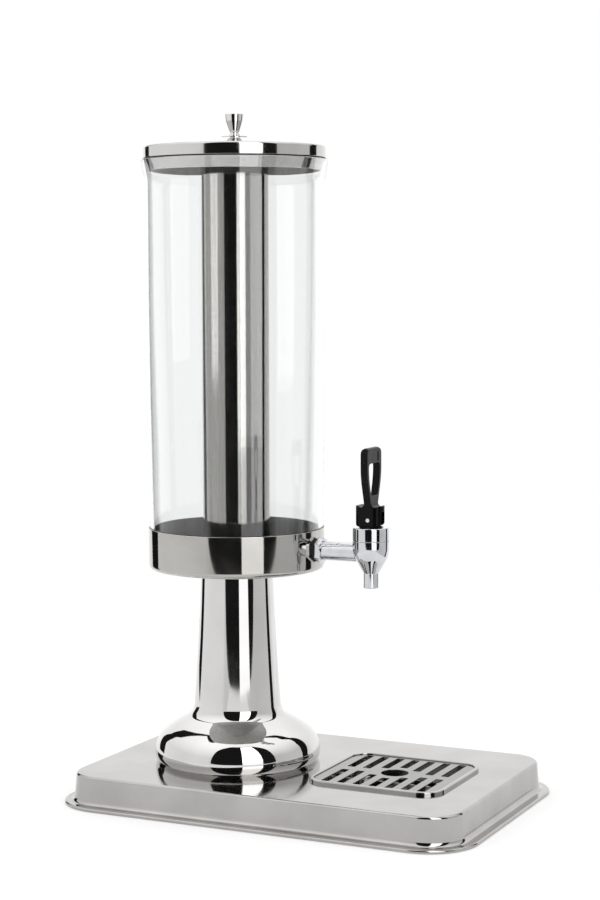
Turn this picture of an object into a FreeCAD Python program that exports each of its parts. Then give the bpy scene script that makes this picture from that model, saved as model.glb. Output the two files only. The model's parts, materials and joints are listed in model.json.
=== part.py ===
"""Free-standing drink tower: base with drip tray, pedestal, collar, clear tank, ice tube, lid and lever tap.

Frame: millimetres, origin at the centre of the base on the surface it stands on, +X towards the tap, +Z up.
"""
import FreeCAD, Part
import math
import os
import Sketcher

# Driving dimensions: alias, value, what it is. Lengths and radii are in millimetres, angles in degrees.
SIZES = (
    ("flange_length", 367.1, "base, over the rolled edge, along X"),
    ("flange_width", 249.8, "base, over the rolled edge, along Y"),
    ("flange_corner", 42.5, "corner radius of the flange"),
    ("flange_rise", 2.5, "top of the flange over the foot of its rolled edge"),
    ("flange_round", 1.4, "round along the flange's rolled edge"),
    ("base_sheet", 1.2, "sheet of the base"),
    ("wall_inset", 9.6, "foot of the base's wall, in from the flange's edge"),
    ("wall_corner", 29.5, "corner radius at the foot of the wall"),
    ("wall_draft", 4.4, "lean of the wall in degrees"),
    ("wall_height", 23.5, "plate top over the flange top"),
    ("plate_round", 2.3, "round along the edge of the plate"),
    ("cove_round", 4.0, "cove between wall and flange"),
    ("edge_gap", 0.5, "rolled edge over the surface it stands on"),
    ("bottom_plate_sheet", 1.0, "bottom plate"),
    ("bottom_plate_gap", 0.4, "bottom plate to the rolled edge"),
    ("foot_radius", 9.0, "pad of a rubber foot"),
    ("foot_neck", 4.0, "neck of a foot, through the bottom plate"),
    ("foot_head", 5.5, "head of a foot, above the bottom plate"),
    ("foot_head_rise", 2.4, "height of that head"),
    ("foot_inset_x", 43.55, "feet, in from the flange's edge along X"),
    ("foot_inset_y", 24.9, "feet, in from the flange's edge along Y"),
    ("post_inset_x", 27.55, "standoffs, in from the flange's edge along X"),
    ("post_inset_y", 36.9, "standoffs, in from the flange's edge along Y"),
    ("post_radius", 4.5, "standoff"),
    ("post_screw", 2.0, "bottom plate screw, thread"),
    ("post_screw_head", 4.0, "bottom plate screw, head"),
    ("post_screw_head_rise", 0.6, "height of that head"),
    ("post_screw_length", 9.0, "thread inside the standoff"),
    ("mounting_radius", 45.0, "stiffening plate under the pedestal"),
    ("mounting_thickness", 3.0, "stiffening plate under the pedestal"),
    ("fit_gap", 0.05, "radial gap of pins, threads and pushed-in pieces"),
    ("loose_gap", 0.4, "radial gap of a screw or pipe in its hole"),
    ("tray_x", 78.8, "middle of the drip tray along X"),
    ("tray_length", 118.0, "tray rim along X"),
    ("tray_width", 111.0, "tray rim along Y"),
    ("tray_corner", 18.0, "corner radius of the tray rim"),
    ("tray_band", 3.5, "width of the rim's flat band"),
    ("tray_rise", 2.6, "rim over the plate"),
    ("tray_sheet", 0.7, "sheet of the tray"),
    ("tray_ledge", 2.5, "ledge that carries the grille"),
    ("tray_depth", 18.5, "floor of the tray under the plate"),
    ("tray_hole_gap", 1.0, "pan to the hole in the base"),
    ("tray_edge_round", 0.6, "round along the rim"),
    ("grille_sheet", 0.8, "grille"),
    ("grille_gap", 0.4, "grille to the tray rim"),
    ("slot_pitch", 14.1, "slots, one to the next"),
    ("slot_width", 5.0, "width of a slot"),
    ("slot_start", 5.0, "slots, from the middle line"),
    ("slot_end", 48.0, "slots, to the grille's edge"),
    ("slot_round", 1.2, "corner radius of a slot"),
    ("drain_radius", 11.5, "round hole in the middle of the grille"),
    ("drain_border", 7.0, "plain ring round that hole"),
    ("pedestal_x", -67.5, "axis of pedestal and tank along X"),
    ("belly_radius", 70.8, "widest part of the pedestal's foot"),
    ("belly_rise", 7.5, "widest part over the plate"),
    ("foot_arc", 12.0, "arc under the widest part"),
    ("dome_arc", 24.3, "arc over the widest part"),
    ("shoulder_in", 12.6, "end of that arc, in from the widest part"),
    ("shoulder_rise", 21.6, "end of that arc, over the widest part"),
    ("neck_radius", 37.6, "where the slope meets the column"),
    ("neck_rise", 11.2, "where the slope meets the column, over the arc's end"),
    ("neck_fillet", 8.8, "hollow round between slope and column"),
    ("column_start", 7.8, "foot of the taper over that meeting"),
    ("column_foot", 37.1, "radius of the column at its foot"),
    ("column_top", 30.9, "radius of the column at its top"),
    ("column_waist", 35.0, "radius where the taper eases"),
    ("column_waist_rise", 30.5, "that place over the column's foot"),
    ("column_height", 165.5, "top of the column over the plate"),
    ("pedestal_sheet", 1.0, "sheet of the pedestal"),
    ("column_cap", 2.0, "ring that closes the column"),
    ("rod_radius", 4.0, "tie rod"),
    ("nut_flats", 13.0, "tie rod nuts across flats"),
    ("nut_height", 6.5, "tie rod nuts"),
    ("rod_washer_radius", 12.0, "washer under the base"),
    ("rod_washer_thickness", 1.6, "washer under the base"),
    ("rod_spare", 2.0, "rod past its nut"),
    ("collar_radius", 75.1, "collar, outside"),
    ("collar_height", 35.0, "collar"),
    ("collar_sheet", 1.0, "sheet of the collar"),
    ("collar_round", 4.5, "round along the collar's foot"),
    ("cushion_radius", 62.0, "silicone disc under the tank"),
    ("cushion_thickness", 1.0, "silicone disc under the tank"),
    ("tank_gap", 0.5, "tank to the collar"),
    ("tank_floor", 4.0, "floor of the tank"),
    ("tank_foot_round", 4.0, "round along the tank's foot"),
    ("tank_floor_round", 1.5, "round along the floor inside the tank"),
    ("tank_radius", 75.4, "tank, outside, where its taper ends"),
    ("tank_taper_height", 226.0, "end of the taper over the tank's foot"),
    ("tank_height", 342.7, "tank"),
    ("tank_foot_wall", 3.7, "wall at the foot"),
    ("tank_wall", 2.5, "wall above the taper"),
    ("rim_radius", 78.9, "rim of the tank, outside"),
    ("rim_wall", 2.9, "wall at the rim"),
    ("rim_flare", 17.7, "height of the flare that ends in the rim"),
    ("flare_round", 20.0, "round at the foot of the flare"),
    ("rim_round", 0.6, "round along the rim, outside"),
    ("rim_inner_round", 0.2, "round along the rim, inside"),
    ("upstand_height", 8.0, "ring on the tank's floor that holds the tube seat"),
    ("upstand_wall", 2.7, "wall of that ring"),
    ("tube_radius", 28.5, "ice tube, outside"),
    ("tube_sheet", 0.8, "wall of the ice tube"),
    ("tube_height", 341.0, "ice tube"),
    ("tube_cap", 1.5, "disc that closes the foot of the tube"),
    ("seat_wall", 0.7, "wall of the silicone seat"),
    ("seat_floor", 1.0, "floor of the silicone seat"),
    ("seat_lip", 3.5, "seat, in from the outside of the tube"),
    ("seal_thickness", 0.8, "lid seal"),
    ("seal_gap", 0.1, "lid seal to the lip, and in from the band's outside"),
    ("lip_radius", 75.6, "lip of the lid, outside, at its top"),
    ("lip_foot_radius", 72.4, "lip of the lid, outside, at its foot"),
    ("lid_lip", 9.8, "lip under the band"),
    ("lid_sheet", 0.8, "sheet of the lid"),
    ("lid_edge", 0.35, "round along the lip"),
    ("lid_fold", 0.8, "round along the foot of the band"),
    ("band_radius", 77.2, "band above the lip"),
    ("band_height", 10.5, "band above the lip"),
    ("band_round", 2.2, "shoulder over the band"),
    ("crown_rise", 6.6, "crown over the shoulder"),
    ("crown_flat", 12.0, "flat middle of the crown"),
    ("rosette_radius", 11.3, "round foot of the knob"),
    ("rosette_thickness", 1.6, "round foot of the knob"),
    ("knob_foot", 4.5, "knob at its foot"),
    ("knob_foot_arc", 2.6, "round of the knob's foot"),
    ("knob_groove", 3.4, "groove over the knob's foot"),
    ("knob_groove_rise", 2.4, "groove over the foot"),
    ("knob_groove_width", 0.5, "groove over the foot"),
    ("knob_bowl", 4.55, "underside of the knob's bowl"),
    ("knob_bowl_rise", 0.3, "edge of that underside over the groove"),
    ("knob_flare_arc", 45.0, "hollow of the lower bowl"),
    ("knob_belly", 6.9, "end of that hollow"),
    ("knob_belly_rise", 11.9, "end of that hollow over the foot"),
    ("knob_bowl_arc", 9.0, "round of the upper bowl"),
    ("knob_brim", 8.15, "knob at its widest"),
    ("knob_brim_rise", 17.0, "start of the widest part over the foot"),
    ("knob_brim_height", 0.9, "straight part at the brim"),
    ("knob_edge_arc", 0.8, "round from the brim to the crown"),
    ("knob_edge_in", 0.7, "start of the crown, in from the brim"),
    ("knob_edge_rise", 0.75, "start of the crown, over the brim"),
    ("knob_height", 19.9, "knob"),
    ("knob_screw", 2.5, "screw of the knob"),
    ("knob_screw_depth", 10.0, "screw inside the knob"),
    ("knob_screw_head", 4.4, "head of that screw"),
    ("knob_screw_head_rise", 3.0, "height of that head"),
    ("knob_washer_radius", 7.0, "washer under the crown"),
    ("knob_washer_thickness", 1.0, "washer under the crown"),
    ("tap_reach", 124.7, "axis of the tap, out from the tank's axis"),
    ("pipe_rise", 18.8, "axis of the pipe over the collar's foot"),
    ("pipe_radius", 8.0, "pipe, outside"),
    ("pipe_bore", 5.5, "pipe, inside"),
    ("pipe_inside", 14.5, "pipe past the tank's inner wall"),
    ("washer_radius", 9.6, "rubber washer outside the collar"),
    ("inner_washer_radius", 10.8, "rubber washer inside the tank"),
    ("washer_thickness", 2.0, "rubber washers on the pipe"),
    ("pipe_nut_flats", 19.0, "nuts on the pipe across flats"),
    ("pipe_nut_length", 5.2, "nuts on the pipe"),
    ("pipe_nut_chamfer", 0.9, "chamfer on the nuts' corners"),
    ("tap_radius", 15.4, "body of the tap"),
    ("tap_shoulder", 4.7, "end of the tap's straight body over the pipe's axis"),
    ("tap_bowl_arc", 22.0, "arc under the straight body"),
    ("tap_cone_radius", 11.6, "start of the cone"),
    ("tap_cone_drop", 7.6, "start of the cone under the pipe's axis"),
    ("spout_radius", 6.4, "spout, outside"),
    ("spout_top_drop", 16.5, "end of the cone under the pipe's axis"),
    ("spout_drop", 28.8, "tip of the spout under the pipe's axis"),
    ("spout_bore", 4.6, "spout, inside"),
    ("seam_rise", 10.6, "joint of body and bonnet over the pipe's axis"),
    ("seam_gap", 0.2, "width of that joint"),
    ("seam_round", 0.35, "round on both sides of that joint"),
    ("neck_wall", 2.35, "wall of the tap's threaded neck"),
    ("neck_height", 7.6, "threaded neck over the joint"),
    ("chamber_radius", 11.0, "chamber of the tap"),
    ("chamber_drop", 4.8, "floor of the chamber under the pipe's axis"),
    ("chamber_slope", 3.0, "bevel round the chamber's floor"),
    ("valve_hole", 3.5, "hole that the valve closes"),
    ("valve_floor", 3.0, "metal under the chamber's floor"),
    ("inlet_radius", 4.6, "way from the pipe into the chamber"),
    ("inlet_web", 0.4, "metal between the pipe's socket and the chamber"),
    ("bonnet_height", 11.3, "bonnet over the joint"),
    ("bonnet_top", 3.2, "thickness of the bonnet's top"),
    ("bonnet_round", 1.0, "round along the bonnet's top"),
    ("wear_radius", 10.5, "disc under the lever, at its foot"),
    ("wear_top_radius", 8.7, "disc under the lever, at its top"),
    ("wear_thickness", 0.7, "disc under the lever"),
    ("stem_radius", 3.0, "valve stem"),
    ("stem_above_pin", 5.5, "stem over the axis of the pin"),
    ("stem_foot", 1.6, "foot of the stem over the plug's foot"),
    ("plug_radius", 7.0, "silicone plug"),
    ("plug_height", 9.0, "silicone plug"),
    ("plug_round", 2.1, "round along the plug's foot"),
    ("plug_gap", 0.3, "plug to the chamber's floor"),
    ("spring_plate_radius", 7.4, "plate on the stem that carries the spring"),
    ("spring_plate", 1.5, "thickness of that plate"),
    ("spring_radius", 5.9, "spring, to the middle of its wire"),
    ("spring_wire", 0.5, "radius of the spring's wire"),
    ("spring_turns", 4.0, "turns of the spring"),
    ("spring_gap", 0.1, "spring to its seats"),
    ("lever_gap", 0.1, "lever to the disc under it"),
    ("lever_back", 12.0, "block of the lever behind the pin"),
    ("lever_front", 11.6, "block of the lever before the pin"),
    ("lever_width", 14.7, "block of the lever along Y"),
    ("lever_back_corner", 4.5, "upright corners at the back of the block"),
    ("lever_front_corner", 7.3, "upright corners at the front of the block"),
    ("lever_height", 17.3, "block of the lever"),
    ("lever_nose", 6.5, "round that the lever rolls on"),
    ("lever_heel", 3.5, "round at the back of the lever's foot"),
    ("lever_horn", 1.2, "round along the block's top ends"),
    ("horn_length", 2.4, "top of the block at its ends"),
    ("lever_dip", 1.3, "hollow of the block's top"),
    ("lever_sweep", 4.0, "reach of the sweep from the block into the arms"),
    ("sweep_round", 3.6, "round of that sweep"),
    ("pin_rise", 5.3, "axis of the pin over the lever's foot"),
    ("pin_radius", 1.6, "pin of the lever"),
    ("stem_slot_back", 6.4, "slot for the stem, behind the pin"),
    ("stem_slot_gap", 0.3, "slot for the stem along Y, each side"),
    ("stem_slot_top", 1.7, "slot over the stem"),
    ("arm_depth", 6.2, "arms along X"),
    ("arm_width", 3.7, "arms along Y"),
    ("loop_width", 29.4, "loop over its arms"),
    ("loop_height", 65.3, "loop over the lever's foot"),
    ("loop_corner", 6.0, "outer corners of the loop"),
    ("loop_knee", 41.5, "knee of the arms over the lever's foot"),
    ("loop_knee_round", 55.0, "round of the knee"),
    ("loop_waist", 17.5, "foot of the arms over the lever's foot"),
    ("loop_waist_round", 12.0, "round at the foot of the arms"),
    ("bridge_height", 13.0, "thumb rest on top of the loop"),
    ("window_corner", 3.0, "inner corners of the loop"),
    ("window_rise", 26.0, "foot of the window over the lever's foot"),
    ("window_foot", 13.2, "window at its foot, along Y"),
    ("panel_width", 17.0, "thumb panel on the bridge"),
    ("panel_height", 8.4, "thumb panel on the bridge"),
    ("panel_depth", 0.5, "thumb panel on the bridge"),
    ("panel_corner", 2.0, "corners of the thumb panel"),
    ("panel_margin", 1.4, "thumb panel over the window"),
)

doc = FreeCAD.newDocument("DrinkTower")
sheet = doc.addObject("Spreadsheet::Sheet", "Sizes")
nodes = []


class Size:
    """A length with its value and the expression that gives it from the sheet."""

    def __init__(self, value, text):
        self.value = float(value)
        self.text = text

    def __add__(self, other):
        other = sized(other)
        return Size(self.value + other.value, f"({self.text} + {other.text})")

    def __sub__(self, other):
        other = sized(other)
        return Size(self.value - other.value, f"({self.text} - {other.text})")

    def __mul__(self, other):
        other = sized(other)
        return Size(self.value * other.value, f"({self.text} * {other.text})")

    def __truediv__(self, other):
        other = sized(other)
        return Size(self.value / other.value, f"({self.text} / {other.text})")

    def __neg__(self):
        return Size(-self.value, f"(0 - {self.text})")


def sized(value):
    return value if isinstance(value, Size) else Size(value, f"{value:.9g}")


def larger(first, second):
    first = sized(first)
    second = sized(second)
    return Size(max(first.value, second.value), f"max({first.text}; {second.text})")


def root(square):
    return Size(math.sqrt(square.value), f"sqrt({square.text})")


def dome_radius(outer, inner, rise):
    """Radius of a ball on the axis that passes through the ring outer and, rise above it, the ring inner."""
    inner = sized(inner)
    depth = (outer * outer - inner * inner - rise * rise) / (rise * 2)
    return root(outer * outer + depth * depth)


class Dimensions:
    """The sheet's cells as attributes, each a Size."""

    def __init__(self, rows):
        for row, (alias, value, note) in enumerate(rows, start=1):
            sheet.set(f"A{row}", note)
            sheet.set(f"B{row}", str(value))
            sheet.setAlias(f"B{row}", alias)
            setattr(self, alias, Size(value, f"Sizes.{alias}"))


d = Dimensions(SIZES)
doc.recompute()

# Levels and places that several pieces share.
flange_foot = d.edge_gap
flange_top = flange_foot + d.flange_rise
plate_top = flange_top + d.wall_height
plate_under = plate_top - d.base_sheet
bottom_plate_top = flange_top - d.base_sheet
bottom_plate_foot = bottom_plate_top - d.bottom_plate_sheet
mounting_under = plate_under - d.mounting_thickness
foot_x = d.flange_length / 2 - d.foot_inset_x
foot_y = d.flange_width / 2 - d.foot_inset_y
post_x = d.flange_length / 2 - d.post_inset_x
post_y = d.flange_width / 2 - d.post_inset_y
tray_half_length = d.tray_length / 2
tray_half_width = d.tray_width / 2
ledge_top = plate_top + d.tray_sheet
collar_foot = plate_top + d.column_height
collar_floor = collar_foot + d.collar_sheet
collar_inside = d.collar_radius - d.collar_sheet
tank_foot = collar_floor + d.cushion_thickness
tank_inside_floor = tank_foot + d.tank_floor
tank_top = tank_foot + d.tank_height
tank_foot_radius = collar_inside - d.tank_gap
tank_foot_inside = tank_foot_radius - d.tank_foot_wall
seat_outside = d.tube_radius + d.fit_gap + d.seat_wall
tube_foot = tank_inside_floor + d.seat_floor
band_foot = tank_top + d.seal_thickness
band_top = band_foot + d.band_height
crown_top = band_top + d.crown_rise
rosette_top = crown_top + d.rosette_thickness
tap_x = d.pedestal_x + d.tap_reach
pipe_z = collar_foot + d.pipe_rise
seam_z = pipe_z + d.seam_rise
neck_top = seam_z + d.neck_height
bonnet_foot = seam_z + d.seam_gap
bonnet_top_z = seam_z + d.bonnet_height
bonnet_under = bonnet_top_z - d.bonnet_top
chamber_floor = pipe_z - d.chamber_drop
plug_foot = chamber_floor + d.plug_gap
plug_top = plug_foot + d.plug_height
spring_plate_top = plug_top + d.spring_plate
wear_top = bonnet_top_z + d.wear_thickness
lever_foot = wear_top + d.lever_gap
pin_z = lever_foot + d.pin_rise
stem_top = pin_z + d.stem_above_pin
washer_seat_x = d.pedestal_x + d.collar_radius
outer_nut_x = washer_seat_x + d.washer_thickness
inner_wall_x = d.pedestal_x + tank_foot_inside
back_nut_x = inner_wall_x - d.washer_thickness - d.pipe_nut_length


# Sketches ------------------------------------------------------------------------------------------


class Corner:
    """A corner of an outline: its place, a fillet there, and the arc that leads on to the next corner.

    The arc's radius is positive where the outline turns left along it and negative where it turns right.
    """

    def __init__(self, across, along, fillet=None, arc=None):
        self.across = sized(across)
        self.along = sized(along)
        self.fillet = fillet
        self.arc = arc

    def point(self):
        return FreeCAD.Vector(self.across.value, self.along.value, 0)


def bind(sketch, constraint, size):
    """Adds a dimension and ties it to the sheet."""
    size = sized(size)
    index = sketch.addConstraint(constraint)
    if "Sizes." in size.text:
        sketch.setExpression(f"Constraints[{index}]", size.text)


def fix_point(sketch, geometry, position, across, along):
    bind(sketch, Sketcher.Constraint("DistanceX", geometry, position, sized(across).value), across)
    bind(sketch, Sketcher.Constraint("DistanceY", geometry, position, sized(along).value), along)


def add_arc(sketch, start, end, radius):
    """Adds the shorter arc from start to end: gives its index and the positions of start and end on it."""
    chord = end - start
    middle = (start + end) * 0.5
    height = math.sqrt(radius ** 2 - chord.Length ** 2 / 4)
    left = FreeCAD.Vector(-chord.y, chord.x, 0).normalize()
    centre = middle + left * math.copysign(height, radius)
    first, last = (start, end) if radius > 0 else (end, start)
    angles = [math.atan2(point.y - centre.y, point.x - centre.x) for point in (first, last)]
    circle = Part.Circle(centre, FreeCAD.Vector(0, 0, 1), abs(radius))
    index = sketch.addGeometry(Part.ArcOfCircle(circle, angles[0], angles[1]), False)
    return (index, 1, 2) if radius > 0 else (index, 2, 1)


def draw(sketch, corners):
    """Draws a closed outline through the corners with every point and radius bound to the sheet."""
    points = [corner.point() for corner in corners]
    arrive = []
    leave = []
    for index, corner in enumerate(corners):
        point = points[index]
        cut = 0.0
        back = points[index - 1] - point
        onward = points[(index + 1) % len(points)] - point
        if corner.fillet:
            cut = corner.fillet.value / math.tan(back.getAngle(onward) / 2)
        arrive.append(point + back.normalize() * cut)
        leave.append(point + onward.normalize() * cut)
    sides = []
    for index, corner in enumerate(corners):
        end = arrive[(index + 1) % len(points)]
        if corner.arc:
            side = add_arc(sketch, leave[index], end, corner.arc.value)
            size = corner.arc if corner.arc.value > 0 else -corner.arc
            bind(sketch, Sketcher.Constraint("Radius", side[0], size.value), size)
        else:
            side = (sketch.addGeometry(Part.LineSegment(leave[index], end), False), 1, 2)
        sides.append(side)
    for index, corner in enumerate(corners):
        before = sides[index - 1]
        after = sides[index]
        if corner.fillet:
            following = points[(index + 1) % len(points)]
            turn = (points[index] - points[index - 1]).cross(following - points[index]).z
            radius = math.copysign(corner.fillet.value, turn)
            fillet = add_arc(sketch, arrive[index], leave[index], radius)
            tip = sketch.addGeometry(Part.Point(points[index]), True)
            sketch.addConstraint(Sketcher.Constraint("Tangent", before[0], before[2], fillet[0], fillet[1]))
            sketch.addConstraint(Sketcher.Constraint("Tangent", fillet[0], fillet[2], after[0], after[1]))
            sketch.addConstraint(Sketcher.Constraint("PointOnObject", tip, 1, before[0]))
            sketch.addConstraint(Sketcher.Constraint("PointOnObject", tip, 1, after[0]))
            bind(sketch, Sketcher.Constraint("Radius", fillet[0], corner.fillet.value), corner.fillet)
            fix_point(sketch, tip, 1, corner.across, corner.along)
        else:
            sketch.addConstraint(Sketcher.Constraint("Coincident", before[0], before[2], after[0], after[1]))
            fix_point(sketch, after[0], after[1], corner.across, corner.along)


def draw_circle(sketch, across, along, radius):
    centre = FreeCAD.Vector(sized(across).value, sized(along).value, 0)
    circle = Part.Circle(centre, FreeCAD.Vector(0, 0, 1), radius.value)
    index = sketch.addGeometry(circle, False)
    fix_point(sketch, index, 3, across, along)
    bind(sketch, Sketcher.Constraint("Radius", index, radius.value), radius)


def box_corners(half_across, half_along, fillet=None, across=0, along=0):
    """Corners of a rectangle about a middle point."""
    across = sized(across)
    along = sized(along)
    return [
        Corner(across - half_across, along - half_along, fillet),
        Corner(across + half_across, along - half_along, fillet),
        Corner(across + half_across, along + half_along, fillet),
        Corner(across - half_across, along + half_along, fillet),
    ]


def sketch_on(body, role, shift=None, raise_by=None):
    """A sketch on one of the body's own planes: XY_Plane, XZ_Plane or YZ_Plane.

    raise_by lifts it off the plane along the plane's normal, and shift moves it along its own second axis.
    """
    plane = [item for item in body.Origin.OriginFeatures if item.Role == role][0]
    sketch = body.newObject("Sketcher::SketchObject", f"{body.Name}Sketch")
    sketch.AttachmentSupport = [(plane, "")]
    sketch.MapMode = "FlatFace"
    if raise_by is not None:
        sketch.setExpression(".AttachmentOffset.Base.z", sized(raise_by).text)
    if shift is not None:
        sketch.setExpression(".AttachmentOffset.Base.y", sized(shift).text)
    return sketch


# Bodies and features -------------------------------------------------------------------------------


def new_body(name, across=None, depth=None, is_node=True):
    """A body with its node's name, set off along X and Y."""
    body = doc.addObject("PartDesign::Body", name)
    body.Label = name
    if across is not None:
        body.setExpression(".Placement.Base.x", sized(across).text)
    if depth is not None:
        body.setExpression(".Placement.Base.y", sized(depth).text)
    if is_node:
        nodes.append(body)
    return body


def revolve(body, corners):
    """Turns a half section, radius against height, about the body's upright axis."""
    sketch = sketch_on(body, "XZ_Plane")
    draw(sketch, corners)
    turned = body.newObject("PartDesign::Revolution", f"{body.Name}Turned")
    turned.Profile = sketch
    turned.ReferenceAxis = (sketch, ["V_Axis"])
    turned.Angle = 360
    doc.recompute()
    return turned


def pad(body, sketch, length, symmetric=False, taper=None):
    feature = body.newObject("PartDesign::Pad", f"{body.Name}Pad")
    feature.Profile = sketch
    feature.SideType = "Symmetric" if symmetric else "One side"
    feature.setExpression("Length", sized(length).text)
    if taper is not None:
        feature.setExpression("TaperAngle", sized(taper).text)
    doc.recompute()
    return feature


def pocket(body, sketch, depth, symmetric=False, forward=False):
    """Cuts a sketch into the body against its normal, or along it when forward is set."""
    volume = body.Shape.Volume
    feature = body.newObject("PartDesign::Pocket", f"{body.Name}Pocket")
    feature.Profile = sketch
    feature.SideType = "Symmetric" if symmetric else "One side"
    feature.Reversed = forward
    feature.setExpression("Length", sized(depth).text)
    doc.recompute()
    if not body.Shape.Volume < volume - 1e-6:
        raise RuntimeError(f"{feature.Name} cuts nothing")
    return feature


def groove(body, sketch, axis):
    volume = body.Shape.Volume
    feature = body.newObject("PartDesign::Groove", f"{body.Name}Groove")
    feature.Profile = sketch
    feature.ReferenceAxis = (sketch, [axis])
    feature.Angle = 360
    doc.recompute()
    if not body.Shape.Volume < volume - 1e-6:
        raise RuntimeError(f"{feature.Name} cuts nothing")
    return feature


def edges_where(feature, test):
    return [f"Edge{number}" for number, edge in enumerate(feature.Shape.Edges, start=1) if test(edge)]


def fillet_edges(body, feature, test, radius):
    rounded = body.newObject("PartDesign::Fillet", f"{body.Name}Round")
    rounded.Base = (feature, edges_where(feature, test))
    rounded.setExpression("Radius", sized(radius).text)
    doc.recompute()
    return rounded


def at_height(edge, height):
    """True for an edge that lies level at that height."""
    box = edge.BoundBox
    return abs(box.ZMin - height.value) < 1e-3 and abs(box.ZMax - height.value) < 1e-3


def ring(name, inside, outside, foot, top, across=None, depth=None, is_node=True):
    """A plain ring, or a disc where inside is 0."""
    body = new_body(name, across, depth, is_node)
    revolve(body, [Corner(inside, foot), Corner(outside, foot), Corner(outside, top), Corner(inside, top)])
    return body


def group(name, members):
    """Separate solids that share one node."""
    compound = doc.addObject("Part::Compound", name)
    compound.Label = name
    compound.Links = members
    nodes.append(compound)
    return compound


def hexagon(flats):
    """Corners of a hexagon with two flats across X."""
    half = flats / 2
    tip = flats / math.sqrt(3)
    side = tip / 2
    return [
        Corner(half, -side),
        Corner(half, side),
        Corner(0, tip),
        Corner(-half, side),
        Corner(-half, -side),
        Corner(0, -tip),
    ]


def level_nut(name, foot, across):
    """A hexagon nut with an upright axis on the tie rod."""
    body = new_body(name, across)
    sketch = sketch_on(body, "XY_Plane", raise_by=foot)
    draw(sketch, hexagon(d.nut_flats))
    draw_circle(sketch, 0, 0, d.rod_radius + d.fit_gap)
    pad(body, sketch, d.nut_height)
    return body


CORNER_SIGNS = ((1, 1), (-1, 1), (-1, -1), (1, -1))


# Base ----------------------------------------------------------------------------------------------


def make_base_shell():
    """Pressed stainless sheet: flange with a rolled edge, leaning wall and flat plate, open below."""
    body = new_body("base_shell")
    half_length = d.flange_length / 2
    half_width = d.flange_width / 2
    flange = sketch_on(body, "XY_Plane", raise_by=flange_foot)
    draw(flange, box_corners(half_length, half_width, d.flange_corner))
    pad(body, flange, d.flange_rise)
    wall = sketch_on(body, "XY_Plane", raise_by=flange_top)
    draw(wall, box_corners(half_length - d.wall_inset, half_width - d.wall_inset, d.wall_corner))
    block = pad(body, wall, d.wall_height, taper=-d.wall_draft)

    def on_rim(edge):
        """True for an edge of the flange's outline."""
        box = edge.BoundBox
        reach_x = max(abs(box.XMin), abs(box.XMax))
        reach_y = max(abs(box.YMin), abs(box.YMax))
        return reach_x > half_length.value - 0.01 or reach_y > half_width.value - 0.01

    def at_wall_foot(edge):
        return at_height(edge, flange_top) and not on_rim(edge)

    def at_flange_top(edge):
        return at_height(edge, flange_top) and on_rim(edge)

    cove = fillet_edges(body, block, at_wall_foot, d.cove_round)
    plate = fillet_edges(body, cove, lambda edge: at_height(edge, plate_top), d.plate_round)
    rolled = fillet_edges(body, plate, at_flange_top, d.flange_round)
    lowest = [
        f"Face{number}"
        for number, face in enumerate(rolled.Shape.Faces, start=1)
        if abs(face.BoundBox.ZMax - flange_foot.value) < 1e-3
    ]
    skin = body.newObject("PartDesign::Thickness", "BaseSkin")
    skin.Base = (rolled, lowest)
    skin.Mode = "Skin"
    skin.Join = "Intersection"
    skin.Reversed = True
    skin.setExpression("Value", d.base_sheet.text)
    doc.recompute()
    opening = sketch_on(body, "XY_Plane", raise_by=plate_top)
    pan_inset = d.tray_band + d.tray_ledge
    corner = d.tray_corner - pan_inset + d.tray_hole_gap
    half_hole_length = tray_half_length - pan_inset + d.tray_hole_gap
    half_hole_width = tray_half_width - pan_inset + d.tray_hole_gap
    draw(opening, box_corners(half_hole_length, half_hole_width, corner, across=d.tray_x))
    draw_circle(opening, d.pedestal_x, 0, d.rod_radius + d.loose_gap)
    pocket(body, opening, d.base_sheet * 2)


def make_bottom_plate():
    """Flat cover inside the rolled edge, with holes for the feet and the screws."""
    body = new_body("bottom_plate")
    sketch = sketch_on(body, "XY_Plane", raise_by=bottom_plate_foot)
    inset = d.base_sheet + d.bottom_plate_gap
    half_length = d.flange_length / 2 - inset
    half_width = d.flange_width / 2 - inset
    draw(sketch, box_corners(half_length, half_width, d.flange_corner - inset))
    for side_x, side_y in CORNER_SIGNS:
        draw_circle(sketch, foot_x * side_x, foot_y * side_y, d.foot_neck + d.fit_gap)
        draw_circle(sketch, post_x * side_x, post_y * side_y, d.post_screw + d.fit_gap)
    pad(body, sketch, d.bottom_plate_sheet)


def make_feet():
    """Push-in rubber feet: pad, neck through the bottom plate, and head above it."""
    feet = []
    head_top = bottom_plate_top + d.foot_head_rise
    for number, (side_x, side_y) in enumerate(CORNER_SIGNS, start=1):
        body = new_body(f"foot_{number}", foot_x * side_x, foot_y * side_y, is_node=False)
        revolve(body, [
            Corner(0, 0),
            Corner(d.foot_radius, 0),
            Corner(d.foot_radius, bottom_plate_foot),
            Corner(d.foot_neck, bottom_plate_foot),
            Corner(d.foot_neck, bottom_plate_top),
            Corner(d.foot_head, bottom_plate_top),
            Corner(d.foot_neck, head_top),
            Corner(0, head_top),
        ])
        feet.append(body)
    group("rubber_feet", feet)


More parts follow.
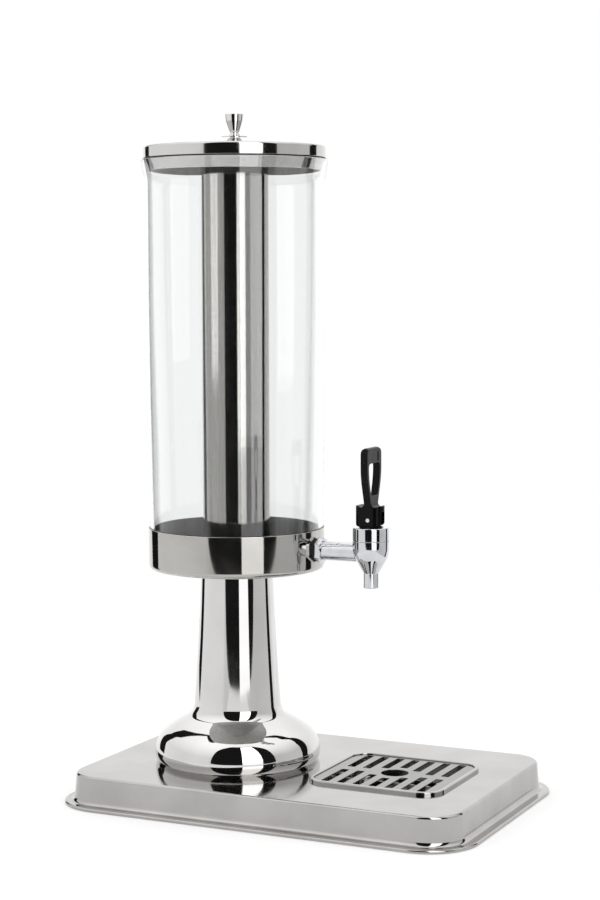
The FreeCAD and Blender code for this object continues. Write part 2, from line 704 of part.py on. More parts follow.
def make_standoffs():
    """Threaded posts welded under the plate, and the thin-headed screws of the bottom plate."""
    posts = []
    screws = []
    bore = d.post_screw + d.fit_gap
    bore_top = bottom_plate_top + d.post_screw_length + d.loose_gap
    screw_top = bottom_plate_top + d.post_screw_length
    head_foot = bottom_plate_foot - d.post_screw_head_rise
    for number, (side_x, side_y) in enumerate(CORNER_SIGNS, start=1):
        place = (post_x * side_x, post_y * side_y)
        post = new_body(f"standoff_{number}", place[0], place[1], is_node=False)
        revolve(post, [
            Corner(bore, bottom_plate_top),
            Corner(d.post_radius, bottom_plate_top),
            Corner(d.post_radius, plate_under),
            Corner(0, plate_under),
            Corner(0, bore_top),
            Corner(bore, bore_top),
        ])
        posts.append(post)
        screw = new_body(f"screw_{number}", place[0], place[1], is_node=False)
        revolve(screw, [
            Corner(0, head_foot),
            Corner(d.post_screw_head, head_foot),
            Corner(d.post_screw_head, bottom_plate_foot),
            Corner(d.post_screw, bottom_plate_foot),
            Corner(d.post_screw, screw_top),
            Corner(0, screw_top),
        ])
        screws.append(screw)
    group("standoffs", posts)
    group("bottom_plate_screws", screws)


# Drip tray -----------------------------------------------------------------------------------------


def make_drip_tray():
    """Pressed tray: a hollow rim that stands on the plate, a ledge for the grille, and the pan."""
    body = new_body("drip_tray", d.tray_x)
    pan_inset = d.tray_band + d.tray_ledge
    rim = sketch_on(body, "XY_Plane", raise_by=plate_top)
    draw(rim, box_corners(tray_half_length, tray_half_width, d.tray_corner))
    block = pad(body, rim, d.tray_rise)
    rim_top = plate_top + d.tray_rise
    fillet_edges(body, block, lambda edge: at_height(edge, rim_top), d.tray_edge_round)
    pan = sketch_on(body, "XY_Plane", raise_by=plate_top - d.tray_depth)
    pan_length = tray_half_length - pan_inset
    pan_width = tray_half_width - pan_inset
    pan_corner = d.tray_corner - pan_inset
    draw(pan, box_corners(pan_length, pan_width, pan_corner))
    pad(body, pan, d.tray_depth)
    seat = sketch_on(body, "XY_Plane", raise_by=rim_top)
    seat_length = tray_half_length - d.tray_band
    seat_width = tray_half_width - d.tray_band
    draw(seat, box_corners(seat_length, seat_width, d.tray_corner - d.tray_band))
    pocket(body, seat, d.tray_rise - d.tray_sheet)
    hollow = sketch_on(body, "XY_Plane", raise_by=ledge_top)
    inside = d.tray_sheet
    draw(hollow, box_corners(pan_length - inside, pan_width - inside, pan_corner - inside))
    pocket(body, hollow, d.tray_depth)
    under = sketch_on(body, "XY_Plane", raise_by=plate_top)
    lip = d.tray_sheet
    band = d.tray_band - d.tray_sheet
    draw(under, box_corners(tray_half_length - lip, tray_half_width - lip, d.tray_corner - lip))
    draw(under, box_corners(tray_half_length - band, tray_half_width - band, d.tray_corner - band))
    pocket(body, under, d.tray_rise - d.tray_sheet, forward=True)


def make_drip_grille():
    """Flat plate with two rows of slots and a round hole in the middle."""
    body = new_body("drip_grille", d.tray_x)
    inset = d.tray_band + d.grille_gap
    plate = sketch_on(body, "XY_Plane", raise_by=ledge_top)
    half_length = tray_half_length - inset
    draw(plate, box_corners(half_length, tray_half_width - inset, d.tray_corner - inset))
    draw_circle(plate, 0, 0, d.drain_radius)
    pad(body, plate, d.grille_sheet)
    columns = int((half_length.value - d.slot_width.value) / d.slot_pitch.value)
    clear_ring = d.drain_radius + d.drain_border
    for column in range(-columns, columns + 1):
        middle = d.slot_pitch * column
        ring_start = root(larger(clear_ring * clear_ring - middle * middle, 0))
        start = larger(ring_start, d.slot_start)
        half_slot = (d.slot_end - start) / 2
        pair = sketch_on(body, "XY_Plane", raise_by=ledge_top + d.grille_sheet)
        for side in (-1, 1):
            centre = (start + half_slot) * side
            draw(pair, box_corners(d.slot_width / 2, half_slot, d.slot_round, across=middle, along=centre))
        pocket(body, pair, d.grille_sheet * 2)


# Pedestal and collar -------------------------------------------------------------------------------


def make_pedestal():
    """Spun foot and hollow tapering column in one sheet, closed by a ring at the top."""
    body = new_body("pedestal", d.pedestal_x)
    sheet_gap = d.pedestal_sheet
    belly_z = plate_top + d.belly_rise
    shoulder_radius = d.belly_radius - d.shoulder_in
    shoulder_z = belly_z + d.shoulder_rise
    neck_z = shoulder_z + d.neck_rise
    column_z = neck_z + d.column_start
    waist_z = column_z + d.column_waist_rise
    foot_radius = d.belly_radius - d.foot_arc + root(d.foot_arc * d.foot_arc - d.belly_rise * d.belly_rise)
    slope = math.atan2(d.neck_rise.value, (shoulder_radius - d.neck_radius).value)
    slope_in = sheet_gap * math.sin(slope)
    slope_down = sheet_gap * math.cos(slope)
    neck_down = sheet_gap * math.tan(math.pi / 4 - slope / 2)
    foot_lean = (foot_radius - d.belly_radius + d.foot_arc) / d.foot_arc
    foot_inside = foot_radius - sheet_gap * foot_lean.value
    cap_under = collar_foot - d.column_cap
    top_inside = d.column_top - sheet_gap
    hole = d.nut_flats / math.sqrt(3) + d.loose_gap
    revolve(body, [
        Corner(foot_inside, plate_top),
        Corner(foot_radius, plate_top, arc=d.foot_arc),
        Corner(d.belly_radius, belly_z, arc=d.dome_arc),
        Corner(shoulder_radius, shoulder_z),
        Corner(d.neck_radius, neck_z, fillet=d.neck_fillet),
        Corner(d.column_foot, column_z),
        Corner(d.column_waist, waist_z),
        Corner(d.column_top, collar_foot),
        Corner(hole, collar_foot),
        Corner(hole, cap_under),
        Corner(top_inside, cap_under),
        Corner(d.column_waist - sheet_gap, waist_z),
        Corner(d.column_foot - sheet_gap, column_z),
        Corner(d.neck_radius - sheet_gap, neck_z - neck_down, fillet=d.neck_fillet + sheet_gap),
        Corner(shoulder_radius - slope_in, shoulder_z - slope_down, arc=-(d.dome_arc - sheet_gap)),
        Corner(d.belly_radius - sheet_gap, belly_z, arc=-(d.foot_arc - sheet_gap)),
    ])


def make_tie_rod_set():
    """Stiffening plate, long rod, washer and nut under the base, and the nut under the collar's floor."""
    washer_foot = mounting_under - d.rod_washer_thickness
    nut_foot = washer_foot - d.nut_height
    hole = d.rod_radius + d.loose_gap
    ring("mounting_plate", hole, d.mounting_radius, mounting_under, plate_under, d.pedestal_x)
    ring("tie_rod_washer", hole, d.rod_washer_radius, washer_foot, mounting_under, d.pedestal_x)
    ring("tie_rod", 0, d.rod_radius, nut_foot - d.rod_spare, collar_foot - d.loose_gap, d.pedestal_x)
    level_nut("tie_rod_nut", nut_foot, d.pedestal_x)
    level_nut("cup_weld_nut", collar_foot - d.nut_height, d.pedestal_x)


def make_collar_cup():
    """Brushed cup that stands on the column and carries the tank, with a side hole for the pipe."""
    body = new_body("collar_cup", d.pedestal_x)
    top = collar_foot + d.collar_height
    revolve(body, [
        Corner(0, collar_foot),
        Corner(d.collar_radius, collar_foot, fillet=d.collar_round),
        Corner(d.collar_radius, top),
        Corner(collar_inside, top),
        Corner(collar_inside, collar_floor, fillet=d.collar_round - d.collar_sheet),
        Corner(0, collar_floor),
    ])
    drill_side(body, collar_inside - d.tank_gap)


def drill_side(body, start):
    """Cuts the pipe's hole from start, off the upright axis, out past the collar on the tap's side."""
    hole = sketch_on(body, "YZ_Plane", raise_by=start)
    draw_circle(hole, 0, pipe_z, d.pipe_radius + d.loose_gap)
    pocket(body, hole, d.collar_radius + d.washer_thickness - start, forward=True)


# Tank and ice tube ---------------------------------------------------------------------------------


def make_tank():
    """Clear moulded cylinder with a closed floor, a ring for the tube seat and a flared rim."""
    body = new_body("tank", d.pedestal_x)
    taper_top = tank_foot + d.tank_taper_height
    flare_foot = tank_top - d.rim_flare
    inside = d.tank_radius - d.tank_wall
    rim_inside = d.rim_radius - d.rim_wall
    upstand_inside = seat_outside + d.fit_gap
    upstand_outside = upstand_inside + d.upstand_wall
    upstand_top = tank_inside_floor + d.upstand_height
    revolve(body, [
        Corner(0, tank_foot),
        Corner(tank_foot_radius, tank_foot, fillet=d.tank_foot_round),
        Corner(d.tank_radius, taper_top),
        Corner(d.tank_radius, flare_foot, fillet=d.flare_round),
        Corner(d.rim_radius, tank_top, fillet=d.rim_round),
        Corner(rim_inside, tank_top, fillet=d.rim_inner_round),
        Corner(inside, flare_foot, fillet=d.flare_round),
        Corner(inside, taper_top),
        Corner(tank_foot_inside, tank_inside_floor, fillet=d.tank_floor_round),
        Corner(upstand_outside, tank_inside_floor),
        Corner(upstand_outside, upstand_top),
        Corner(upstand_inside, upstand_top),
        Corner(upstand_inside, tank_inside_floor),
        Corner(0, tank_inside_floor),
    ])
    drill_side(body, tank_foot_inside - d.tank_foot_wall)


def make_ice_tube():
    """Thin steel tube with a welded foot, its silicone seat, and the disc under the tank."""
    ring("tank_cushion", 0, d.cushion_radius, collar_floor, tank_foot, d.pedestal_x)
    inside = d.tube_radius - d.tube_sheet
    ring("ice_tube", inside, d.tube_radius, tube_foot, tube_foot + d.tube_height, d.pedestal_x)
    ring("ice_tube_cap", 0, inside, tube_foot, tube_foot + d.tube_cap, d.pedestal_x)
    body = new_body("tube_seat", d.pedestal_x)
    lip = d.tube_radius - d.seat_lip
    seat_inside = d.tube_radius + d.fit_gap
    seat_top = tank_inside_floor + d.upstand_height
    revolve(body, [
        Corner(lip, tank_inside_floor),
        Corner(seat_outside, tank_inside_floor),
        Corner(seat_outside, seat_top),
        Corner(seat_inside, seat_top),
        Corner(seat_inside, tube_foot),
        Corner(lip, tube_foot),
    ])


# Lid -----------------------------------------------------------------------------------------------


def make_lid():
    """Spun steel lid: tapered lip inside the tank's rim, band on it, and a low crown with a flat middle."""
    body = new_body("lid", d.pedestal_x)
    sheet_gap = d.lid_sheet
    lip_foot = band_foot - d.lid_lip
    shoulder_radius = d.band_radius - d.band_round
    crown_arc = dome_radius(shoulder_radius, d.crown_flat, d.crown_rise)
    hole = d.knob_screw + d.loose_gap
    revolve(body, [
        Corner(hole, crown_top),
        Corner(hole, crown_top - sheet_gap),
        Corner(d.crown_flat, crown_top - sheet_gap, arc=-crown_arc),
        Corner(shoulder_radius, band_top - sheet_gap, arc=-(d.band_round - sheet_gap)),
        Corner(d.band_radius - sheet_gap, band_top - d.band_round),
        Corner(d.band_radius - sheet_gap, band_foot + sheet_gap),
        Corner(d.lip_radius - sheet_gap, band_foot + sheet_gap),
        Corner(d.lip_foot_radius - sheet_gap, lip_foot, fillet=d.lid_edge),
        Corner(d.lip_foot_radius, lip_foot, fillet=d.lid_edge),
        Corner(d.lip_radius, band_foot),
        Corner(d.band_radius, band_foot, fillet=d.lid_fold),
        Corner(d.band_radius, band_top - d.band_round, arc=d.band_round),
        Corner(shoulder_radius, band_top, arc=crown_arc),
        Corner(d.crown_flat, crown_top),
    ])


def make_lid_fittings():
    """Seal between rim and band, and the knob with its rosette, screw and washer."""
    seal_outside = d.band_radius - d.lid_fold - d.seal_gap
    ring("lid_seal", d.lip_radius + d.seal_gap, seal_outside, tank_top, band_foot, d.pedestal_x)
    hole = d.knob_screw + d.loose_gap
    rosette = new_body("knob_rosette", d.pedestal_x)
    revolve(rosette, [
        Corner(hole, crown_top),
        Corner(d.rosette_radius, crown_top),
        Corner(d.rosette_radius, rosette_top, fillet=d.rosette_thickness / 2),
        Corner(hole, rosette_top),
    ])
    knob = new_body("lid_knob", d.pedestal_x)
    bore = d.knob_screw + d.fit_gap
    bore_top = rosette_top + d.knob_screw_depth + d.loose_gap
    groove_z = rosette_top + d.knob_groove_rise
    groove_top = groove_z + d.knob_groove_width
    brim_z = rosette_top + d.knob_brim_rise
    edge_foot = brim_z + d.knob_brim_height
    edge_z = edge_foot + d.knob_edge_rise
    edge_radius = d.knob_brim - d.knob_edge_in
    knob_top = rosette_top + d.knob_height
    revolve(knob, [
        Corner(bore, rosette_top),
        Corner(d.knob_foot, rosette_top, arc=d.knob_foot_arc),
        Corner(d.knob_groove, groove_z),
        Corner(d.knob_groove, groove_top),
        Corner(d.knob_bowl, groove_top + d.knob_bowl_rise, arc=-d.knob_flare_arc),
        Corner(d.knob_belly, rosette_top + d.knob_belly_rise, arc=d.knob_bowl_arc),
        Corner(d.knob_brim, brim_z),
        Corner(d.knob_brim, edge_foot, arc=d.knob_edge_arc),
        Corner(edge_radius, edge_z, arc=dome_radius(edge_radius, 0, knob_top - edge_z)),
        Corner(0, knob_top),
        Corner(0, bore_top),
        Corner(bore, bore_top),
    ])
    crown_under = crown_top - d.lid_sheet
    washer_foot = crown_under - d.knob_washer_thickness
    ring("knob_washer", hole, d.knob_washer_radius, washer_foot, crown_under, d.pedestal_x)
    screw = new_body("knob_screw", d.pedestal_x)
    screw_top = rosette_top + d.knob_screw_depth
    revolve(screw, [
        Corner(0, washer_foot - d.knob_screw_head_rise),
        Corner(d.knob_screw_head, washer_foot - d.knob_screw_head_rise),
        Corner(d.knob_screw_head, washer_foot),
        Corner(d.knob_screw, washer_foot),
        Corner(d.knob_screw, screw_top),
        Corner(0, screw_top),
    ])


# Pipe from the tank to the tap ---------------------------------------------------------------------


def along_pipe(name, start, length, bore, outside=None):
    """A body round the pipe's axis from start along +X: a hexagon nut where outside isn't given."""
    body = new_body(name)
    sketch = sketch_on(body, "YZ_Plane", raise_by=start, shift=pipe_z)
    if outside is None:
        draw(sketch, hexagon(d.pipe_nut_flats))
    else:
        draw_circle(sketch, 0, 0, outside)
    draw_circle(sketch, 0, 0, bore)
    pad(body, sketch, length)
    return body


def make_pipe():
    """Threaded pipe from inside the tank to the tap's chamber."""
    pipe_start = inner_wall_x - d.pipe_inside
    pipe_end = tap_x - d.chamber_radius - d.inlet_web - d.fit_gap
    along_pipe("tap_shank", pipe_start, pipe_end - pipe_start, d.pipe_bore, d.pipe_radius)


def chamfer_nut(body, face_x, inward):
    """Takes the six corners off the nut's face at face_x; inward is +1 where the nut lies on its +X side."""
    sketch = sketch_on(body, "XZ_Plane", shift=pipe_z)
    start = d.pipe_nut_flats / 2
    reach = d.pipe_nut_flats / math.sqrt(3) + d.pipe_nut_chamfer
    draw(sketch, [
        Corner(face_x, start),
        Corner(face_x + d.pipe_nut_chamfer * inward * 2, reach),
        Corner(face_x - d.pipe_nut_chamfer * inward, reach),
        Corner(face_x - d.pipe_nut_chamfer * inward, start),
    ])
    groove(body, sketch, "H_Axis")


def make_pipe_fittings():
    """Nuts on both sides of the wall, and rubber washers cut to the curves of the collar and the tank."""
    bore = d.pipe_radius + d.fit_gap
    nut = along_pipe("shank_outer_nut", outer_nut_x, d.pipe_nut_length, bore)
    chamfer_nut(nut, outer_nut_x + d.pipe_nut_length, -1)
    back_nut = along_pipe("shank_back_nut", back_nut_x, d.pipe_nut_length, bore)
    chamfer_nut(back_nut, back_nut_x, 1)
    start = washer_seat_x - d.washer_thickness
    outer = along_pipe("outer_washer", start, d.washer_thickness * 2, bore, d.washer_radius)
    saddle = sketch_on(outer, "XY_Plane", raise_by=pipe_z)
    draw_circle(saddle, d.pedestal_x, 0, d.collar_radius)
    pocket(outer, saddle, d.washer_radius * 3, symmetric=True)
    start = inner_wall_x - d.washer_thickness
    inner = along_pipe("inner_washer", start, d.washer_thickness * 2, bore, d.inner_washer_radius)
    saddle = sketch_on(inner, "XY_Plane", raise_by=pipe_z)
    draw_circle(saddle, d.pedestal_x, 0, tank_foot_inside)
    draw_circle(saddle, d.pedestal_x, 0, d.collar_radius + d.washer_radius)
    pocket(inner, saddle, d.washer_radius * 3, symmetric=True)


# Tap -----------------------------------------------------------------------------------------------


def make_tap_body():
    """Turned body: threaded neck, chamber, valve hole, spout, and the socket for the pipe."""
    body = new_body("tap_body", tap_x)
    neck_outside = d.chamber_radius + d.neck_wall
    spout_tip = pipe_z - d.spout_drop
    valve_under = chamber_floor - d.valve_floor
    revolve(body, [
        Corner(d.spout_bore, spout_tip),
        Corner(d.spout_radius, spout_tip, fillet=d.seam_round),
        Corner(d.spout_radius, pipe_z - d.spout_top_drop),
        Corner(d.tap_cone_radius, pipe_z - d.tap_cone_drop, arc=d.tap_bowl_arc),
        Corner(d.tap_radius, pipe_z + d.tap_shoulder),
        Corner(d.tap_radius, seam_z, fillet=d.seam_round),
        Corner(neck_outside, seam_z),
        Corner(neck_outside, neck_top),
        Corner(d.chamber_radius, neck_top),
        Corner(d.chamber_radius, chamber_floor + d.chamber_slope),
        Corner(d.chamber_radius - d.chamber_slope, chamber_floor),
        Corner(d.valve_hole, chamber_floor),
        Corner(d.valve_hole, valve_under),
        Corner(d.spout_bore, valve_under),
    ])
    socket = sketch_on(body, "YZ_Plane", raise_by=-(d.chamber_radius + d.inlet_web), shift=pipe_z)
    draw_circle(socket, 0, 0, d.pipe_radius + d.fit_gap)
    pocket(body, socket, d.chamber_radius)
    inlet = sketch_on(body, "YZ_Plane", raise_by=-(d.chamber_radius + d.inlet_web), shift=pipe_z)
    draw_circle(inlet, 0, 0, d.inlet_radius)
    pocket(body, inlet, d.chamber_radius, forward=True)


def make_bonnet():
    """Screwed cap with the stem's guide hole, and the wear disc on it."""
    body = new_body("tap_bonnet", tap_x)
    skirt_inside = d.chamber_radius + d.neck_wall + d.fit_gap
    stem_hole = d.stem_radius + d.fit_gap
    revolve(body, [
        Corner(skirt_inside, bonnet_foot),
        Corner(d.tap_radius, bonnet_foot, fillet=d.seam_round),
        Corner(d.tap_radius, bonnet_top_z, fillet=d.bonnet_round),
        Corner(stem_hole, bonnet_top_z),
        Corner(stem_hole, bonnet_under),
        Corner(skirt_inside, bonnet_under),
    ])
    disc = new_body("wear_disc", tap_x)
    disc_hole = stem_hole + d.fit_gap
    revolve(disc, [
        Corner(disc_hole, bonnet_top_z),
        Corner(d.wear_radius, bonnet_top_z),
        Corner(d.wear_top_radius, wear_top),
        Corner(disc_hole, wear_top),
    ])


def make_valve():
    """Stem with its spring plate and cross hole, silicone plug, spring, and the lever's pin."""
    stem = new_body("valve_stem", tap_x)
    stem_foot = plug_foot + d.stem_foot
    revolve(stem, [
        Corner(0, stem_foot),
        Corner(d.stem_radius, stem_foot),
        Corner(d.stem_radius, plug_top),
        Corner(d.spring_plate_radius, plug_top),
        Corner(d.spring_plate_radius, spring_plate_top),
        Corner(d.stem_radius, spring_plate_top),
        Corner(d.stem_radius, stem_top),
        Corner(0, stem_top),
    ])
    cross_hole = sketch_on(stem, "XZ_Plane", shift=pin_z)
    draw_circle(cross_hole, 0, 0, d.pin_radius + d.fit_gap)
    pocket(stem, cross_hole, d.stem_radius * 4, symmetric=True)
    plug = new_body("seat_cup", tap_x)
    bore = d.stem_radius + d.fit_gap
    revolve(plug, [
        Corner(0, plug_foot),
        Corner(d.plug_radius, plug_foot, fillet=d.plug_round),
        Corner(d.plug_radius, plug_top),
        Corner(bore, plug_top),
        Corner(bore, stem_foot - d.fit_gap),
        Corner(0, stem_foot - d.fit_gap),
    ])
    spring = new_body("valve_spring", tap_x)
    first_z = spring_plate_top + d.spring_wire + d.spring_gap
    last_z = bonnet_under - d.spring_wire - d.spring_gap
    wire = sketch_on(spring, "XZ_Plane")
    draw_circle(wire, d.spring_radius, first_z, d.spring_wire)
    coil = spring.newObject("PartDesign::AdditiveHelix", "SpringCoil")
    coil.Profile = wire
    coil.ReferenceAxis = (wire, ["V_Axis"])
    coil.Mode = "height-turns-angle"
    coil.setExpression("Height", (last_z - first_z).text)
    coil.setExpression("Turns", d.spring_turns.text)
    doc.recompute()
    pin = new_body("lever_pin", tap_x)
    section = sketch_on(pin, "XZ_Plane", shift=pin_z)
    draw_circle(section, 0, 0, d.pin_radius)
    pad(pin, section, d.lever_width + d.fit_gap * 2, symmetric=True)


def make_lever():
    """Lever in one moulding: forked block with a rolling nose, two arms and a thumb bridge over them."""
    body = new_body("tap_lever", tap_x)
    half_width = d.lever_width / 2
    half_arm = d.arm_depth / 2
    block_top = lever_foot + d.lever_height
    dip_z = block_top - d.lever_dip
    sweep_x = half_arm + d.lever_sweep
    sweep_top = dip_z + d.lever_sweep
    side = sketch_on(body, "XZ_Plane")
    draw(side, [
        Corner(-d.lever_back, lever_foot, fillet=d.lever_heel),
        Corner(d.lever_front, lever_foot, fillet=d.lever_nose),
        Corner(d.lever_front, block_top, fillet=d.lever_horn),
        Corner(d.lever_front - d.horn_length, block_top),
        Corner(sweep_x, dip_z),
        Corner(half_arm, dip_z, fillet=d.sweep_round),
        Corner(half_arm, sweep_top),
        Corner(-half_arm, sweep_top),
        Corner(-half_arm, dip_z, fillet=d.sweep_round),
        Corner(-sweep_x, dip_z),
        Corner(d.horn_length - d.lever_back, block_top),
        Corner(-d.lever_back, block_top, fillet=d.lever_horn),
    ])
    pad(body, side, d.lever_width, symmetric=True)
    plan = sketch_on(body, "XY_Plane", raise_by=lever_foot)
    draw(plan, box_corners(d.lever_back * 2, d.lever_back * 2))
    draw(plan, [
        Corner(-d.lever_back, -half_width, fillet=d.lever_back_corner),
        Corner(d.lever_front, -half_width, fillet=d.lever_front_corner),
        Corner(d.lever_front, half_width, fillet=d.lever_front_corner),
        Corner(-d.lever_back, half_width, fillet=d.lever_back_corner),
    ])
    pocket(body, plan, d.loop_height, forward=True)
    loop_half = d.loop_width / 2
    waist_z = lever_foot + d.loop_waist
    knee_z = lever_foot + d.loop_knee
    loop_top = lever_foot + d.loop_height
    loop = sketch_on(body, "YZ_Plane")
    draw(loop, [
        Corner(-half_width, dip_z - d.lever_dip),
        Corner(half_width, dip_z - d.lever_dip),
        Corner(half_width, waist_z, fillet=d.loop_waist_round),
        Corner(loop_half, knee_z, fillet=d.loop_knee_round),
        Corner(loop_half, loop_top, fillet=d.loop_corner),
        Corner(-loop_half, loop_top, fillet=d.loop_corner),
        Corner(-loop_half, knee_z, fillet=d.loop_knee_round),
        Corner(-half_width, waist_z, fillet=d.loop_waist_round),
    ])
    pad(body, loop, d.arm_depth, symmetric=True)
    crown = sketch_on(body, "XZ_Plane")
    crown_foot = loop_top - half_arm
    draw(crown, [
        Corner(-half_arm, crown_foot, arc=-half_arm),
        Corner(0, loop_top, arc=-half_arm),
        Corner(half_arm, crown_foot),
        Corner(d.arm_depth, crown_foot),
        Corner(d.arm_depth, loop_top + half_arm),
        Corner(-d.arm_depth, loop_top + half_arm),
        Corner(-d.arm_depth, crown_foot),
    ])
    pocket(body, crown, d.loop_width * 2, symmetric=True)
    window = sketch_on(body, "YZ_Plane")
    window_foot = lever_foot + d.window_rise
    window_top = loop_top - d.bridge_height
    inner_foot = d.window_foot / 2
    inner_half = loop_half - d.arm_width
    draw(window, [
        Corner(-inner_foot, window_foot, fillet=d.window_corner),
        Corner(inner_foot, window_foot, fillet=d.window_corner),
        Corner(inner_half, knee_z, fillet=d.loop_knee_round),
        Corner(inner_half, window_top, fillet=d.window_corner),
        Corner(-inner_half, window_top, fillet=d.window_corner),
        Corner(-inner_half, knee_z, fillet=d.loop_knee_round),
    ])
    pocket(body, window, d.arm_depth * 2, symmetric=True)
    panel_z = window_top + d.panel_margin + d.panel_height / 2
    panel = sketch_on(body, "YZ_Plane", raise_by=half_arm, shift=panel_z)
    draw(panel, box_corners(d.panel_width / 2, d.panel_height / 2, d.panel_corner))
    pocket(body, panel, d.panel_depth)
    slot = sketch_on(body, "XY_Plane", raise_by=lever_foot)
    slot_half = d.stem_radius + d.stem_slot_gap
    draw(slot, [
        Corner(-d.stem_slot_back, -slot_half),
        Corner(d.lever_back * 2, -slot_half),
        Corner(d.lever_back * 2, slot_half),
        Corner(-d.stem_slot_back, slot_half),
    ])
    pocket(body, slot, stem_top + d.stem_slot_top - lever_foot, forward=True)
    hole = sketch_on(body, "XZ_Plane", shift=pin_z)
    draw_circle(hole, 0, 0, d.pin_radius + d.fit_gap)
    pocket(body, hole, d.lever_width * 2, symmetric=True)


# Build, check and write ----------------------------------------------------------------------------

make_base_shell()
make_bottom_plate()
make_feet()
make_standoffs()
make_drip_tray()
make_drip_grille()
make_pedestal()
make_tie_rod_set()
make_collar_cup()
make_tank()
make_ice_tube()
make_lid()
make_lid_fittings()
make_pipe()
make_pipe_fittings()
make_tap_body()
make_bonnet()
make_valve()
make_lever()
doc.recompute()

for item in doc.Objects:
    if "Invalid" in item.State or "Error" in item.State:
        raise RuntimeError(f"{item.Label} failed: {item.State}")
for node in nodes:
    if node.Shape.isNull() or not node.Shape.isValid() or not node.Shape.Solids:
        raise RuntimeError(f"{node.Label} has no valid solid")

os.makedirs("parts", exist_ok=True)
for node in nodes:
    node.Shape.exportStep(f"parts/{node.Label}.step")
    box = node.Shape.BoundBox
    print(
        f"{node.Label}: {len(node.Shape.Solids)} solid(s), {node.Shape.Volume:.1f} mm3, "
        f"x {box.XMin:.2f} {box.XMax:.2f}  y {box.YMin:.2f} {box.YMax:.2f}  z {box.ZMin:.2f} {box.ZMax:.2f}"
    )
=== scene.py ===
"""Looks of the drink tower: its spun, pressed and moulded pieces and their finishes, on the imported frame."""
import json
import math

import bmesh
import bpy
from mathutils import Euler, Matrix, Vector


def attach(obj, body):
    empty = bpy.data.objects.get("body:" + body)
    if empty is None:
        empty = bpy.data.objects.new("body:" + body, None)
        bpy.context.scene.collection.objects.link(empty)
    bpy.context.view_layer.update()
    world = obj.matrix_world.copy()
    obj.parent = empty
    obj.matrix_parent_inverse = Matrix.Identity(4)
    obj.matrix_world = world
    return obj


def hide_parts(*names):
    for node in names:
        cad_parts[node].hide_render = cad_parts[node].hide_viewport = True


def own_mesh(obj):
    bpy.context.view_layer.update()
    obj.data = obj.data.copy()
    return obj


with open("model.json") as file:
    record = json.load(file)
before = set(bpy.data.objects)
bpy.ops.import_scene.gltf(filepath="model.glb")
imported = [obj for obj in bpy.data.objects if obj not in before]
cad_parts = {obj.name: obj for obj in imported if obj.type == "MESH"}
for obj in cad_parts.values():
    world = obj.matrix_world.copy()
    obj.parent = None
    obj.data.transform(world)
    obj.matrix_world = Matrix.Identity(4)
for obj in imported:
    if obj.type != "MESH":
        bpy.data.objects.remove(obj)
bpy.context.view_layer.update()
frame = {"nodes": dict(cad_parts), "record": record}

MM = 0.001
TINY = 1e-6
WELD = 0.0001
SMOOTH_ANGLE = math.radians(32)
ROUND_STEP = math.radians(5)

# Segments round a piece, more of them on a wider one.
WIDE_SPIN = 224
TUBE_SPIN = 160
TAP_SPIN = 128
KNOB_SPIN = 96
PIPE_STEPS = 96

# Places shared by several pieces, in millimetres.
PEDESTAL_X = -67.5
TAP_X = 57.2
TRAY_X = 78.8
PLATE_TOP = 26.5
COLLAR_FOOT = 192.0
TANK_FOOT = 194.0
TANK_TOP = 536.7
BAND_FOOT = 537.5
CROWN_TOP = 554.6
ROSETTE_TOP = 556.2
PIPE_Z = 210.8
SEAM_Z = 221.4

# The camera stands in metres, and its lens is in millimetres.
CAMERA_PLACE = (0.732076, -1.558439, 0.447111)
CAMERA_YAW = math.radians(25.389)
CAMERA_PITCH = math.radians(5.063)
CAMERA_ROLL = math.radians(-0.169)
CAMERA_LENS = 82.73


# Outlines ---------------------------------------------------------------------------------------------------


def corner(across, up, fillet=0.0, arc=0.0):
    """A corner of a section; arc is the radius of the way on to the next, positive where it turns left."""
    return Vector((across, up)), fillet, arc


def arc_points(start, end, radius):
    """Points on the shorter arc from start to end, without start."""
    chord = end - start
    height = math.sqrt(max(radius ** 2 - chord.length_squared / 4, 0.0))
    left = Vector((-chord.y, chord.x)).normalized()
    centre = (start + end) / 2 + left * math.copysign(height, radius)
    first = math.atan2(start.y - centre.y, start.x - centre.x)
    last = math.atan2(end.y - centre.y, end.x - centre.x)
    turn = (last - first) % math.tau
    if radius < 0:
        turn -= math.tau
    count = max(4, math.ceil(abs(turn) / ROUND_STEP))
    angles = [first + turn * step / count for step in range(1, count)]
    return [centre + abs(radius) * Vector((math.cos(angle), math.sin(angle))) for angle in angles] + [end]


def outline(corners, closed=True):
    """The points of a section through its corners, with arcs and fillets divided evenly."""
    count = len(corners)
    points = []
    leave = []
    arrive = []
    for index, (place, fillet, _) in enumerate(corners):
        at_end = not closed and index in (0, count - 1)
        cut = 0.0
        back = (corners[index - 1][0] - place).normalized()
        onward = (corners[(index + 1) % count][0] - place).normalized()
        if fillet and not at_end:
            cut = fillet / math.tan(back.angle(onward) / 2)
        arrive.append(place + back * cut)
        leave.append(place + onward * cut)
    for index, (place, fillet, arc) in enumerate(corners):
        points.append(arrive[index])
        if (leave[index] - arrive[index]).length > TINY:
            before = place - arrive[index]
            after = leave[index] - place
            radius = math.copysign(fillet, before.x * after.y - before.y * after.x)
            points += arc_points(arrive[index], leave[index], radius)
        if arc and (closed or index < count - 1):
            points += arc_points(leave[index], arrive[(index + 1) % count], arc)[:-1]
    return points


def dome_radius(outer, inner, rise):
    """Radius of a ball centred on the axis through the ring outer and, rise above it, the ring inner."""
    depth = (outer ** 2 - inner ** 2 - rise ** 2) / (rise * 2)
    return math.hypot(outer, depth)


